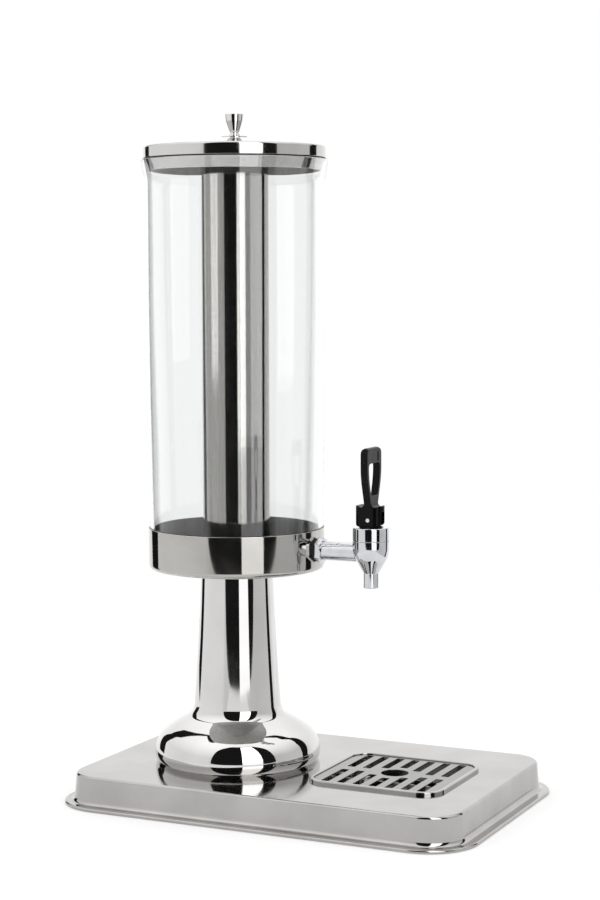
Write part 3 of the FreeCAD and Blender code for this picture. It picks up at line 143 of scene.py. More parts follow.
def rounded_rectangle(half_x, half_y, radius, centre_x=0.0, per_corner=14):
    """Points of a rectangle with round corners, the same number whatever its size."""
    points = []
    for quarter, (sign_x, sign_y) in enumerate(((1, 1), (-1, 1), (-1, -1), (1, -1))):
        middle = Vector((centre_x + sign_x * (half_x - radius), sign_y * (half_y - radius)))
        for step in range(per_corner + 1):
            angle = math.radians(90) * (quarter + step / per_corner)
            points.append(middle + radius * Vector((math.cos(angle), math.sin(angle))))
    return points


# Meshes -----------------------------------------------------------------------------------------------------


def new_object(name, data):
    """An object with its data, put into the scene."""
    made = bpy.data.objects.new(name, data)
    bpy.context.scene.collection.objects.link(made)
    return made


def finish_piece(piece, body, slot, replaces):
    """Shades a piece, gives it its slot's finish, and sets it on its body in place of its CAD nodes."""
    piece.data.materials.clear()
    piece.data.materials.append(FINISHES[slot])
    piece.data.shade_smooth()
    piece.data.set_sharp_from_angle(angle=SMOOTH_ANGLE)
    weighted = piece.modifiers.new("even_shading", "WEIGHTED_NORMAL")
    weighted.keep_sharp = True
    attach(piece, body)
    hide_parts(*replaces)


def line_inside(piece, is_inside):
    """Gives the faces that is_inside picks the dull inside finish, whose pale colour is painted light."""
    piece.data.materials.append(FINISHES["dull_inside_painted_light"])
    for face in piece.data.polygons:
        if is_inside(face):
            face.material_index = 1


def mesh_piece(name, points, faces, axis_x=0.0):
    """A mesh object from points in millimetres, with its origin on the upright axis at axis_x."""
    mesh = bpy.data.meshes.new(name)
    mesh.from_pydata([tuple(coordinate * MM for coordinate in point) for point in points], [], faces)
    work = bmesh.new()
    work.from_mesh(mesh)
    bmesh.ops.remove_doubles(work, verts=work.verts, dist=WELD * MM)
    bmesh.ops.recalc_face_normals(work, faces=work.faces)
    work.to_mesh(mesh)
    work.free()
    piece = new_object(name, mesh)
    piece.location = (axis_x * MM, 0.0, 0.0)
    return piece


def evaluated_mesh(shape):
    """The mesh that an object has with its modifiers, or that a curve fills."""
    depsgraph = bpy.context.evaluated_depsgraph_get()
    return bpy.data.meshes.new_from_object(shape.evaluated_get(depsgraph))


def spin(name, section, axis_x, segments):
    """Turns a closed section, radius against height, about the upright axis at axis_x."""
    points = []
    faces = []
    rows = len(section)
    for segment in range(segments):
        angle = math.tau * segment / segments
        cosine = math.cos(angle)
        sine = math.sin(angle)
        points += [(radius * cosine, radius * sine, height) for radius, height in section]
    for segment in range(segments):
        here = segment * rows
        there = (segment + 1) % segments * rows
        for row in range(rows):
            below = (row + 1) % rows
            on_axis = section[row][0] < TINY
            axis_below = section[below][0] < TINY
            if on_axis and axis_below:
                continue
            if on_axis:
                faces.append((here + row, there + below, here + below))
            elif axis_below:
                faces.append((here + row, there + row, here + below))
            else:
                faces.append((here + row, there + row, there + below, here + below))
    return mesh_piece(name, points, faces, axis_x)


def loft(name, loops, ring=False):
    """Joins loops of equally many points; ring closes the last to the first, else both ends are capped."""
    count = len(loops[0])
    points = [point for loop in loops for point in loop]
    faces = []
    for level in range(len(loops) if ring else len(loops) - 1):
        here = level * count
        there = (level + 1) % len(loops) * count
        for step in range(count):
            following = (step + 1) % count
            faces.append((here + step, here + following, there + following, there + step))
    if not ring:
        faces.append(tuple(range(count)))
        faces.append(tuple(range(len(points) - count, len(points))))
    return mesh_piece(name, points, faces)


def plate_loop(half_x, half_y, radius, height, centre_x=0.0):
    """A level rectangle with round corners, as a loop for loft."""
    return [(point.x, point.y, height) for point in rounded_rectangle(half_x, half_y, radius, centre_x)]


def pipe_loop(x, radii):
    """A loop round the pipe's axis, at x along it, with a radius for each of its points."""
    points = []
    for step, radius in enumerate(radii):
        angle = math.tau * step / PIPE_STEPS
        points.append((x, radius * math.cos(angle), PIPE_Z + radius * math.sin(angle)))
    return points


# Shader nodes -----------------------------------------------------------------------------------------------

# The Mix node has sockets of the same names for numbers and colours. These are the ones for colours.
MIX_FIRST = 6
MIX_SECOND = 7
MIX_RESULT = 2

# The values of a noise pattern lie mostly between these two.
PATTERN_LOW = 0.3
PATTERN_HIGH = 0.7


def srgb(code):
    """Linear colour from an sRGB hex value."""
    channels = [int(code[index:index + 2], 16) / 255 for index in (1, 3, 5)]
    linear = [c / 12.92 if c <= 0.04045 else ((c + 0.055) / 1.055) ** 2.4 for c in channels]
    return (*linear, 1.0)


def grey(level):
    """Linear grey of a brightness, which may pass 1 for light."""
    return (level, level, level, 1.0)


def add(tree, kind, inputs=None, **settings):
    """Adds a node; each input, by name or number, is a plain value or another node's output."""
    made = tree.nodes.new(kind)
    for name, value in settings.items():
        setattr(made, name, value)
    for name, value in (inputs or {}).items():
        if isinstance(value, bpy.types.NodeSocket):
            tree.links.new(value, made.inputs[name])
        else:
            made.inputs[name].default_value = value
    return made


def empty_tree(owner):
    """The node tree of a material or the world, with nothing in it."""
    owner.use_nodes = True
    owner.node_tree.nodes.clear()
    return owner.node_tree


def new_material(name, settings):
    """A material and its shader, with the settings that are the same all over it."""
    material = bpy.data.materials.new(name)
    tree = empty_tree(material)
    surface = add(tree, "ShaderNodeBsdfPrincipled", settings)
    add(tree, "ShaderNodeOutputMaterial", {"Surface": surface.outputs["BSDF"]})
    return material, tree, surface


def pattern(tree, spacing_mm, stretch=(1.0, 1.0, 1.0), detail=2.0):
    """Value of a pattern with features spacing_mm apart, drawn out along an axis where stretch is under 1."""
    place = add(tree, "ShaderNodeTexCoord")
    scaled = add(tree, "ShaderNodeMapping", {"Vector": place.outputs["Object"], "Scale": stretch})
    return add(tree, "ShaderNodeTexNoise", {
        "Vector": scaled.outputs["Vector"],
        "Scale": 1.0 / (spacing_mm * MM),
        "Detail": detail,
    }).outputs["Fac"]


def drift_colour(tree, surface, value, dark, light, start=PATTERN_LOW, end=PATTERN_HIGH):
    """Lets the colour drift from dark to light while a pattern's value goes from start to end."""
    share = add(tree, "ShaderNodeMapRange", {"Value": value, "From Min": start, "From Max": end})
    colour = add(tree, "ShaderNodeMix", {
        "Factor": share.outputs["Result"],
        MIX_FIRST: srgb(dark),
        MIX_SECOND: srgb(light),
    }, data_type="RGBA")
    tree.links.new(colour.outputs[MIX_RESULT], surface.inputs["Base Color"])


def drift_roughness(tree, surface, value, low, high):
    """Lets the roughness drift from low to high with a pattern's value."""
    share = add(tree, "ShaderNodeMapRange", {
        "Value": value,
        "From Min": PATTERN_LOW,
        "From Max": PATTERN_HIGH,
        "To Min": low,
        "To Max": high,
    })
    tree.links.new(share.outputs["Result"], surface.inputs["Roughness"])


# Finishes ---------------------------------------------------------------------------------------------------


def polished_steel(name, dark, light, low, high, wave_mm=0.0):
    """Stainless sheet buffed bright: sharp reflections, hazed by the mop and bent where the sheet is wavy."""
    material, tree, surface = new_material(name, {"Metallic": 1.0})
    haze = pattern(tree, spacing_mm=35.0, detail=3.0)
    drift_colour(tree, surface, haze, dark, light)
    drift_roughness(tree, surface, haze, low, high)
    mop = pattern(tree, spacing_mm=0.5, stretch=(1.0, 0.12, 1.0))
    relief = add(tree, "ShaderNodeBump", {"Height": mop, "Distance": 0.0006 * MM, "Strength": 0.5})
    if wave_mm:
        relief = add(tree, "ShaderNodeBump", {
            "Height": pattern(tree, spacing_mm=60.0, detail=0.0),
            "Distance": wave_mm * MM,
            "Strength": 1.0,
            "Normal": relief.outputs["Normal"],
        })
    tree.links.new(relief.outputs["Normal"], surface.inputs["Normal"])
    return material


def brushed_steel(name, dark, light, stretch, low, high, depth_mm=0.004, anisotropy=0.6):
    """Stainless brushed one way, with grit lines half a millimetre apart, which is coarser than real ones."""
    material, tree, surface = new_material(name, {"Metallic": 1.0, "Anisotropic": anisotropy})
    tangent = add(tree, "ShaderNodeTangent", direction_type="RADIAL", axis="Z")
    tree.links.new(tangent.outputs["Tangent"], surface.inputs["Tangent"])
    lines = pattern(tree, spacing_mm=0.55, stretch=stretch, detail=4.0)
    bands = pattern(tree, spacing_mm=4.0, stretch=stretch)
    both = add(tree, "ShaderNodeMath", {0: lines, 1: bands}, operation="ADD")
    drift_colour(tree, surface, both.outputs["Value"], dark, light, start=0.7, end=1.3)
    drift_roughness(tree, surface, lines, low, high)
    relief = add(tree, "ShaderNodeBump", {"Height": lines, "Distance": depth_mm * MM, "Strength": 0.6})
    tree.links.new(relief.outputs["Normal"], surface.inputs["Normal"])
    return material


def bright_chrome(name):
    """Decorative chrome plate on turned brass: a hard, slightly blue mirror."""
    material, tree, surface = new_material(name, {"Metallic": 1.0})
    haze = pattern(tree, spacing_mm=6.0, detail=3.0)
    drift_colour(tree, surface, haze, "#c6c7ca", "#d0d1d4")
    drift_roughness(tree, surface, haze, 0.02, 0.05)
    return material


def clear_plastic(name):
    """Moulded clear plastic: see-through, with soft upright ripples left by the flow in the mould."""
    material, tree, surface = new_material(name, {
        "Base Color": srgb("#f9fafa"),
        "Specular IOR Level": 0.3,
        "Transmission Weight": 1.0,
        "IOR": 1.49,
    })
    flow = pattern(tree, spacing_mm=25.0, stretch=(1.0, 1.0, 0.15), detail=1.0)
    drift_roughness(tree, surface, flow, 0.0, 0.02)
    relief = add(tree, "ShaderNodeBump", {"Height": flow, "Distance": 0.03 * MM, "Strength": 0.25})
    tree.links.new(relief.outputs["Normal"], surface.inputs["Normal"])
    return material


def silicone(name):
    """Translucent silicone rubber: milky, with a soft sheen."""
    material, tree, surface = new_material(name, {
        "Roughness": 0.45,
        "Subsurface Weight": 0.3,
        "Subsurface Scale": 2.0 * MM,
    })
    grain = pattern(tree, spacing_mm=0.8)
    drift_colour(tree, surface, grain, "#d2d4d2", "#dfe0de")
    relief = add(tree, "ShaderNodeBump", {"Height": grain, "Distance": 0.02 * MM, "Strength": 0.4})
    tree.links.new(relief.outputs["Normal"], surface.inputs["Normal"])
    return material


def moulded_black(name, dark, light, low, high, grain_mm=0.35, depth_mm=0.006, specular=0.5):
    """Black moulding: its skin carries the tool's fine texture, and its black drifts a little."""
    material, tree, surface = new_material(name, {"IOR": 1.53, "Specular IOR Level": specular})
    cloud = pattern(tree, spacing_mm=9.0)
    drift_colour(tree, surface, cloud, dark, light)
    grain = pattern(tree, spacing_mm=grain_mm, detail=3.0)
    drift_roughness(tree, surface, grain, low, high)
    relief = add(tree, "ShaderNodeBump", {"Height": grain, "Distance": depth_mm * MM, "Strength": 0.5})
    tree.links.new(relief.outputs["Normal"], surface.inputs["Normal"])
    return material


# By the record's slot. The two numbers after the colours are the lowest and the highest roughness.
FINISHES = {
    # Pressed sheet, buffed: broad clear reflections that bend a little with the sheet.
    "base_steel": polished_steel("buffed_base_sheet", "#a6a4a2", "#b2b0ae", 0.06, 0.11, wave_mm=0.03),
    # Pressed sheet, buffed a little less than the base: slightly softer reflections.
    "tray_steel": polished_steel("buffed_tray_sheet", "#a3a29f", "#b0afac", 0.07, 0.12),
    # Spun and buffed to a mirror: the sharpest reflections of the sheet pieces.
    "polished_steel": polished_steel("buffed_pedestal", "#c9c8c7", "#d3d2d1", 0.02, 0.05),
    # Spun and buffed: bright, with softened edges to what it mirrors.
    "lid_steel": polished_steel("buffed_lid", "#bdbcba", "#c9c8c6", 0.06, 0.12),
    # Turned from bar and buffed to a mirror: the brightest steel, with small hard highlights.
    "knob_steel": polished_steel("buffed_knob", "#cfcecd", "#d8d7d6", 0.02, 0.05),
    # Punched plate with a satin skin: the darkest steel, with blurred reflections.
    "grille_steel": polished_steel("satin_grille", "#7c7b79", "#8a8987", 0.12, 0.2),
    # Drawn and buffed: clear reflections in a warm grey.
    "brushed_collar": polished_steel("bright_collar", "#aaa8a4", "#b6b4b0", 0.03, 0.08),
    # Inside of collar and lid, left as drawn: dull, and pale as painted light, which lightens the collar's
    # underside where polished steel mirrors it. It is no slot of the record.
    "dull_inside_painted_light": brushed_steel(
        "satin_inside_painted_light", "#c6c5c3", "#e0dfdd", (1.0, 1.0, 0.03), 0.46, 0.58, anisotropy=0.0),
    # Welded tube brushed along its length: upright streaks, and reflections drawn out round it.
    "satin_tube": brushed_steel(
        "tube_brushed_along", "#989693", "#aaa8a5", (1.0, 1.0, 0.012), 0.07, 0.12, 0.0015, 0.2),
    # Steel as it comes from the mill: grey, streaky and dull.
    "plain_steel": brushed_steel("mill_steel", "#8a8a88", "#a3a3a0", (0.1, 1.0, 1.0), 0.3, 0.42),
    # Ground pin: bright with a fine blur.
    "pin_steel": polished_steel("ground_pin", "#cfcfcf", "#dadada", 0.08, 0.14),
    "tap_chrome": bright_chrome("chrome_on_brass"),
    "clear_plastic": clear_plastic("clear_tank_plastic"),
    "clear_silicone": silicone("milky_silicone"),
    # Nitrile washers and feet: dull black with a coarse grain.
    "black_rubber": moulded_black("black_nitrile", "#0e0e0e", "#171717", 0.55, 0.75, 0.5, 0.02),
    # Nylon disc under the lever: black with a satin skin.
    "black_plastic": moulded_black("black_nylon", "#0c0c0c", "#151515", 0.35, 0.5),
    # The lever comes from a polished mould: deep black with small sharp highlights.
    "lever_plastic": moulded_black(
        "glossy_black_moulding", "#060606", "#0c0c0c", 0.12, 0.2, depth_mm=0.002, specular=0.1),
}


def dress_frame():
    """Every CAD node that stays takes the finish of its own slot."""
    for entry in frame["record"]["subparts"]:
        mesh = frame["nodes"][entry["node"]].data
        mesh.materials.clear()
        mesh.materials.append(FINISHES[entry["material_slot"]])


# Base -------------------------------------------------------------------------------------------------------

FLANGE_HALF = (183.55, 124.9)
FLANGE_CORNER = 42.5
FLANGE_TOP = 3.0
FLANGE_FOOT = 0.5
FLANGE_ROUND = 1.4
BASE_SHEET = 1.2
WALL_INSET = 9.6
WALL_CORNER = 29.5
WALL_DRAFT = math.radians(4.4)
COVE_ROUND = 4.0
COVE_CLEAR = 1.0
PLATE_ROUND = 2.3
PLATE_EDGE = 8.0
LEAST_ROUND = 0.2
TRAY_HALF = (59.0, 55.5)
TRAY_CORNER = 18.0
TRAY_BAND = 3.5
TRAY_LEDGE = 2.5
TRAY_TOP = 29.1
TRAY_SHEET = 0.7
TRAY_FLOOR = 8.0
TRAY_HOLE_GAP = 1.0
PAN_MIDDLE = 50.0
PAN_ROUND = 4.0
PAN_CORNER = 1.5


def base_loops(sheet):
    """Loops from the rolled edge up to the hole for the tray, sheet deep inside the base's outer face."""
    lean = (PLATE_TOP - FLANGE_TOP) * math.tan(WALL_DRAFT)
    flange_z = FLANGE_TOP - sheet
    plate_z = PLATE_TOP - sheet
    wall_top = WALL_INSET + lean
    section = outline([
        corner(sheet, FLANGE_FOOT),
        corner(sheet, flange_z, max(FLANGE_ROUND - sheet, LEAST_ROUND)),
        corner(WALL_INSET + sheet, flange_z, COVE_ROUND + sheet),
        corner(wall_top + sheet, plate_z, max(PLATE_ROUND - sheet, LEAST_ROUND)),
        corner(wall_top + PLATE_EDGE, plate_z),
    ], closed=False)
    loops = []
    for inset, height in section:
        on_flange = inset < WALL_INSET - COVE_ROUND - COVE_CLEAR
        radius = (FLANGE_CORNER if on_flange else WALL_CORNER + WALL_INSET) - inset
        loops.append(plate_loop(FLANGE_HALF[0] - inset, FLANGE_HALF[1] - inset, radius, height))
    pan_inset = TRAY_BAND + TRAY_LEDGE - TRAY_HOLE_GAP
    half_x, half_y = (half - pan_inset for half in TRAY_HALF)
    loops.append(plate_loop(half_x, half_y, TRAY_CORNER - pan_inset, plate_z, TRAY_X))
    return loops


def make_base():
    """Pressed sheet with a rolled edge: both faces in one closed skin, with a hole for the tray."""
    loops = base_loops(0.0) + base_loops(BASE_SHEET)[::-1]
    piece = loft("pressed_base", loops, ring=True)
    finish_piece(piece, "root", "base_steel", ["base_shell"])


def tray_loop(inset, height):
    """The tray's outline, inset from its rim."""
    radius = max(TRAY_CORNER - inset, PAN_CORNER)
    return plate_loop(TRAY_HALF[0] - inset, TRAY_HALF[1] - inset, radius, height, TRAY_X)


def make_tray():
    """Pressed tray: hollow rim on the plate, ledge under the grille, and a pan with a round foot."""
    sheet = TRAY_SHEET
    pan = TRAY_BAND + TRAY_LEDGE
    ledge = PLATE_TOP + sheet
    section = outline([
        corner(PAN_MIDDLE, TRAY_FLOOR),
        corner(pan, TRAY_FLOOR, PAN_ROUND),
        corner(pan, PLATE_TOP, 0.4),
        corner(TRAY_BAND - sheet, PLATE_TOP, 0.6),
        corner(TRAY_BAND - sheet, TRAY_TOP - sheet, 0.3),
        corner(sheet, TRAY_TOP - sheet, 0.3),
        corner(sheet, PLATE_TOP),
        corner(0.0, PLATE_TOP),
        corner(0.0, TRAY_TOP, 0.9),
        corner(TRAY_BAND, TRAY_TOP, 0.7),
        corner(TRAY_BAND, ledge, 0.3),
        corner(pan + sheet, ledge, 0.7),
        corner(pan + sheet, TRAY_FLOOR + sheet, PAN_ROUND - sheet),
        corner(PAN_MIDDLE, TRAY_FLOOR + sheet),
    ], closed=False)
    piece = loft("pressed_tray", [tray_loop(inset, height) for inset, height in section])
    finish_piece(piece, "drip_tray", "tray_steel", ["drip_tray"])


GRILLE_HALF = (55.1, 51.6)
GRILLE_CORNER = 14.1
GRILLE_TOP = 28.0
GRILLE_SHEET = 0.8
GRILLE_EDGE = 0.15
SLOT_COLUMNS = range(-3, 4)
SLOT_PITCH = 14.1
SLOT_WIDTH = 6.8
SLOT_START = 5.0
SLOT_END = 48.0
SLOT_ROUND = 1.2
SLOT_CORNER_STEPS = 5
DRAIN_RADIUS = 11.5
DRAIN_CLEAR = 18.5
DRAIN_STEPS = 64


def add_outline(curve, points):
    """Adds a closed outline to a flat curve, which fills between its outlines."""
    spline = curve.splines.new("POLY")
    spline.points.add(len(points) - 1)
    for point, (x, y) in zip(spline.points, points):
        point.co = (x * MM, y * MM, 0.0, 1.0)
    spline.use_cyclic_u = True


def make_grille():
    """Punched plate: two rows of slots that keep clear of the round hole in the middle."""
    curve = bpy.data.curves.new("grille_outline", "CURVE")
    curve.dimensions = "2D"
    curve.fill_mode = "BOTH"
    curve.extrude = (GRILLE_SHEET / 2 - GRILLE_EDGE) * MM
    curve.bevel_depth = GRILLE_EDGE * MM
    curve.bevel_resolution = 1
    curve.offset = -GRILLE_EDGE * MM
    add_outline(curve, rounded_rectangle(GRILLE_HALF[0], GRILLE_HALF[1], GRILLE_CORNER))
    angles = [math.tau * step / DRAIN_STEPS for step in range(DRAIN_STEPS)]
    add_outline(curve, [(DRAIN_RADIUS * math.cos(angle), DRAIN_RADIUS * math.sin(angle)) for angle in angles])
    for column in SLOT_COLUMNS:
        middle = column * SLOT_PITCH
        start = max(SLOT_START, math.sqrt(max(DRAIN_CLEAR ** 2 - middle ** 2, 0.0)))
        half = (SLOT_END - start) / 2
        slot = rounded_rectangle(SLOT_WIDTH / 2, half, SLOT_ROUND, middle, SLOT_CORNER_STEPS)
        for side in (-1, 1):
            add_outline(curve, [(point.x, point.y + side * (start + half)) for point in slot])
    shape = new_object("grille_shape", curve)
    mesh = evaluated_mesh(shape)
    bpy.data.objects.remove(shape)
    work = bmesh.new()
    work.from_mesh(mesh)
    bmesh.ops.remove_doubles(work, verts=work.verts, dist=WELD * MM)
    work.to_mesh(mesh)
    work.free()
    piece = new_object("punched_grille", mesh)
    piece.location = (TRAY_X * MM, 0.0, (GRILLE_TOP - GRILLE_SHEET / 2) * MM)
    finish_piece(piece, "drip_grille", "grille_steel", ["drip_grille"])


# Pedestal and collar ----------------------------------------------------------------------------------------


def make_pedestal():
    """Spun foot that sweeps into a tapering column, one sheet thick, with the tie rod's hole in its top."""
    rod_hole = 7.9
    under_top = COLLAR_FOOT - 2.0
    column_arc = 2600.0
    section = outline([
        corner(67.4, PLATE_TOP),
        corner(68.17, PLATE_TOP, arc=12.0),
        corner(70.8, 34.0, arc=24.3),
        corner(61.46, 53.15, arc=99.2),
        corner(44.29, 63.93, arc=-13.0),
        corner(37.1, 74.6, arc=-column_arc),
        corner(30.9, COLLAR_FOOT),
        corner(rod_hole, COLLAR_FOOT),
        corner(rod_hole, under_top),
        corner(29.95, under_top, arc=column_arc),
        corner(36.1, 74.53, arc=14.0),
        corner(43.85, 63.03, arc=-98.2),
        corner(60.84, 52.36, arc=-23.3),
        corner(69.8, 34.0, arc=-11.0),
    ])
    piece = spin("spun_pedestal", section, PEDESTAL_X, WIDE_SPIN)
    finish_piece(piece, "root", "polished_steel", ["pedestal"])


def make_collar():
    """Deep cup with a rolled-round foot, without the pipe's hole that its CAD node has."""
    outside = 75.1
    inside = 74.1
    top = 227.0
    section = outline([
        corner(0.0, COLLAR_FOOT),
        corner(outside, COLLAR_FOOT, 4.5),
        corner(outside, top, 0.45),
        corner(inside, top, 0.45),
        corner(inside, COLLAR_FOOT + 1.0, 3.5),
        corner(0.0, COLLAR_FOOT + 1.0),
    ])

    def is_inside(face):
        """Picks the inside of the cup and its flat underside."""
        reach = math.hypot(face.center.x, face.center.y)
        in_cup = reach < (inside + 0.2) * MM and face.center.z > (COLLAR_FOOT + 0.5) * MM
        return in_cup or face.center.z < (COLLAR_FOOT + 0.05) * MM

    piece = spin("collar_bowl", section, PEDESTAL_X, WIDE_SPIN)
    finish_piece(piece, "root", "brushed_collar", ["collar_cup"])
    # The inside and flat underside take the dull inside finish, whose pale colour is painted light.
    line_inside(piece, is_inside)


# Tank, ice tube and lid -------------------------------------------------------------------------------------


def make_tank():
    """Clear cylinder with a thick floor, a ring round the tube and a flared rim, without the pipe's hole."""
    outside = 75.4
    inside = 72.9
    taper_top = 420.0
    flare_foot = TANK_TOP - 17.7
    flare_round = 20.0
    floor_top = 198.0
    ring_outside = 32.0
    ring_inside = 29.3
    ring_top = 206.0
    section = outline([
        corner(0.0, TANK_FOOT),
        corner(73.6, TANK_FOOT, 4.0),
        corner(outside, taper_top),
        corner(outside, flare_foot, flare_round),
        corner(78.9, TANK_TOP, 0.6),
        corner(76.0, TANK_TOP, 0.2),
        corner(inside, flare_foot, flare_round),
        corner(inside, taper_top),
        corner(69.9, floor_top, 1.5),
        corner(ring_outside, floor_top, 0.6),
        corner(ring_outside, ring_top, 0.5),
        corner(ring_inside, ring_top, 0.5),
        corner(ring_inside, floor_top, 0.3),
        corner(0.0, floor_top),
    ])
    piece = spin("clear_tank", section, PEDESTAL_X, WIDE_SPIN)
    finish_piece(piece, "root", "clear_plastic", ["tank"])


def make_ice_tube():
    """Thin brushed tube down the middle of the tank; the disc that closes its foot is the CAD's own."""
    outside = 28.5
    inside = 27.7
    foot = 199.0
    top = 540.0
    edge = 0.3
    section = outline([
        corner(inside, foot),
        corner(outside, foot, edge),
        corner(outside, top, edge),
        corner(inside, top, edge),
    ])
    piece = spin("brushed_tube", section, PEDESTAL_X, TUBE_SPIN)
    finish_piece(piece, "root", "satin_tube", ["ice_tube"])


SCREW_HOLE = 2.9


def make_lid():
    """Spun lid: tapered lip inside the tank's rim, a band on it, and a low crown."""
    sheet = 0.8
    rosette_seat = 12.0
    shoulder = 75.0
    shoulder_round = 2.2
    band = 77.2
    band_top = 548.0
    lip = 75.6
    lip_end = 72.4
    lip_foot = BAND_FOOT - 9.8
    lip_edge = 0.35
    under = 74.5
    crown = dome_radius(shoulder, rosette_seat, CROWN_TOP - band_top)
    section = outline([
        corner(SCREW_HOLE, CROWN_TOP),
        corner(SCREW_HOLE, CROWN_TOP - sheet),
        corner(rosette_seat, CROWN_TOP - sheet, arc=-crown),
        corner(shoulder, band_top - sheet, arc=-1.4),
        corner(band - sheet, band_top - shoulder_round),
        corner(band - sheet, BAND_FOOT + sheet),
        corner(lip - sheet, BAND_FOOT + sheet),
        corner(lip_end - sheet, lip_foot, lip_edge),
        corner(lip_end, lip_foot, lip_edge),
        corner(lip, BAND_FOOT),
        corner(band, BAND_FOOT, 0.8),
        corner(band, band_top - shoulder_round, arc=shoulder_round),
        corner(shoulder, band_top, arc=crown),
        corner(rosette_seat, CROWN_TOP),
    ])

    def is_inside(face):
        """Picks the faces that look towards the axis, and those within the lip that look down."""
        outward = face.normal.x * face.center.x + face.normal.y * face.center.y
        looks_down = face.normal.z < -0.5
        return outward < -TINY or looks_down and math.hypot(face.center.x, face.center.y) < under * MM

    piece = spin("spun_lid", section, PEDESTAL_X, WIDE_SPIN)
    finish_piece(piece, "lid", "lid_steel", ["lid"])
    # The lid's inside takes the dull inside finish, whose pale colour is painted light.
    line_inside(piece, is_inside)


def make_knob():
    """Turned knob with a groove over its foot and a flared bowl, bored for its screw, on a thin rosette."""
    foot = ROSETTE_TOP
    bore = 2.55
    bore_top = foot + 10.4
    foot_radius = 4.5
    groove = 3.7
    crown_edge = 7.2
    crown_foot = 18.65
    height = 19.9
    crown = dome_radius(crown_edge, 0.0, height - crown_foot)
    section = outline([
        corner(bore, foot),
        corner(foot_radius, foot, arc=2.6),
        corner(groove, foot + 2.4),
        corner(groove, foot + 3.4, 0.3),
        corner(4.5, foot + 4.6, 0.4),
        corner(7.3, foot + 12.8, 1.2),
        corner(7.8, foot + 17.7, arc=0.9),
        corner(crown_edge, foot + crown_foot, arc=crown),
        corner(0.0, foot + height),
        corner(0.0, bore_top),
        corner(bore, bore_top),
    ])
    knob = spin("turned_knob", section, PEDESTAL_X, KNOB_SPIN)
    finish_piece(knob, "lid", "knob_steel", ["lid_knob"])
    rosette_radius = 11.3
    section = outline([
        corner(SCREW_HOLE, CROWN_TOP),
        corner(rosette_radius, CROWN_TOP),
        corner(rosette_radius, foot, 0.9),
        corner(SCREW_HOLE, foot),
    ])
    rosette = spin("knob_disc", section, PEDESTAL_X, KNOB_SPIN)
    finish_piece(rosette, "lid", "lid_steel", ["knob_rosette"])


# Tap --------------------------------------------------------------------------------------------------------

TAP_RADIUS = 15.4
SEAM_ROUND = 0.35


def make_tap_body():
    """Turned and plated body with its spout, seat and chamber, without the inlet that its CAD node has."""
    spout = 6.4
    spout_bore = 4.6
    spout_foot = 182.0
    seat_bore = 3.5
    seat_foot = 203.0
    seat_top = 206.0
    chamber = 11.0
    chamber_top = 229.0
    neck = 13.35
    section = outline([
        corner(spout_bore, spout_foot, 0.3),
        corner(spout, spout_foot, 0.6),
        corner(spout, 194.3, 0.8),
        corner(11.6, 203.2, arc=22.0),
        corner(TAP_RADIUS, 215.5),
        corner(TAP_RADIUS, SEAM_Z, SEAM_ROUND),
        corner(neck, SEAM_Z),
        corner(neck, chamber_top),
        corner(chamber, chamber_top),
        corner(chamber, 209.0),
        corner(8.0, seat_top),
        corner(seat_bore, seat_top),
        corner(seat_bore, seat_foot),
        corner(spout_bore, seat_foot),
    ])
    body = spin("tap_bowl", section, TAP_X, TAP_SPIN)
    finish_piece(body, "root", "tap_chrome", ["tap_body"])


def make_bonnet():
    """Screwed cap of the tap, over a fine seam."""
    bore = 13.4
    foot = SEAM_Z + 0.2
    top = 232.7
    under_top = 229.5
    stem_hole = 3.05
    section = outline([
        corner(bore, foot),
        corner(TAP_RADIUS, foot, SEAM_ROUND),
        corner(TAP_RADIUS, top, 1.0),
        corner(stem_hole, top, 0.2),
        corner(stem_hole, under_top),
        corner(bore, under_top),
    ])
    bonnet = spin("screwed_bonnet", section, TAP_X, TAP_SPIN)
    finish_piece(bonnet, "root", "tap_chrome", ["tap_bonnet"])


def make_spring():
    """Coil between the stem's plate and the bonnet, copied from its CAD node as it stands; the real one
    shortens as the lever lifts the stem.
    """
    spring = new_object("coil_spring", frame["nodes"]["valve_spring"].data.copy())
    finish_piece(spring, "root", "plain_steel", ["valve_spring"])
    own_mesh(spring)


def make_pipe_nut():
    """Hexagon nut on the pipe, its outer face turned to a bevel."""
    start = 9.6
    length = 5.2
    half_flats = 9.5
    half_corners = 10.8
    bore = 8.05
    bevel = 0.9
    no_limit = 12.0

    def hexagon(angle):
        """Distance from the axis to the flat at an angle, with the corners slightly rounded."""
        turn = (angle + math.pi / 6) % (math.pi / 3) - math.pi / 6
        return min(half_flats / math.cos(turn), half_corners)

    sides = [hexagon(math.tau * step / PIPE_STEPS) for step in range(PIPE_STEPS)]
    # How far out the nut may reach at each distance along it.
    levels = [
        (0.0, half_flats + 1.6),
        (0.2, no_limit),
        (length - bevel, no_limit),
        (length - bevel / 2, 10.4),
        (length, 9.55),
    ]
    loops = [pipe_loop(start + along, [min(side, limit) for side in sides]) for along, limit in levels]
    loops += [pipe_loop(start + along, [bore] * PIPE_STEPS) for along in (length, 0.0)]
    nut = loft("bevelled_nut", loops, ring=True)
    finish_piece(nut, "root", "tap_chrome", ["shank_outer_nut"])


def make_pipe():
    """Plated pipe from inside the tank to the tap, with a small bevel on its inner end."""
    outside = 8.0
    bore = 5.5
    start = -12.0
    end = 45.7
    bevel = 0.4
    stations = [
        (start, bore),
        (start, outside - bevel),
        (start + bevel, outside),
        (end, outside),
        (end, bore),
    ]
    pipe = loft("plated_pipe", [pipe_loop(x, [radius] * PIPE_STEPS) for x, radius in stations], ring=True)
    finish_piece(pipe, "root", "tap_chrome", ["tap_shank"])


LEVER_VOXEL = 0.25
LEVER_WELD = 0.001
LEVER_SOFTEN = 3
SOFTEN_SHARE = 0.5


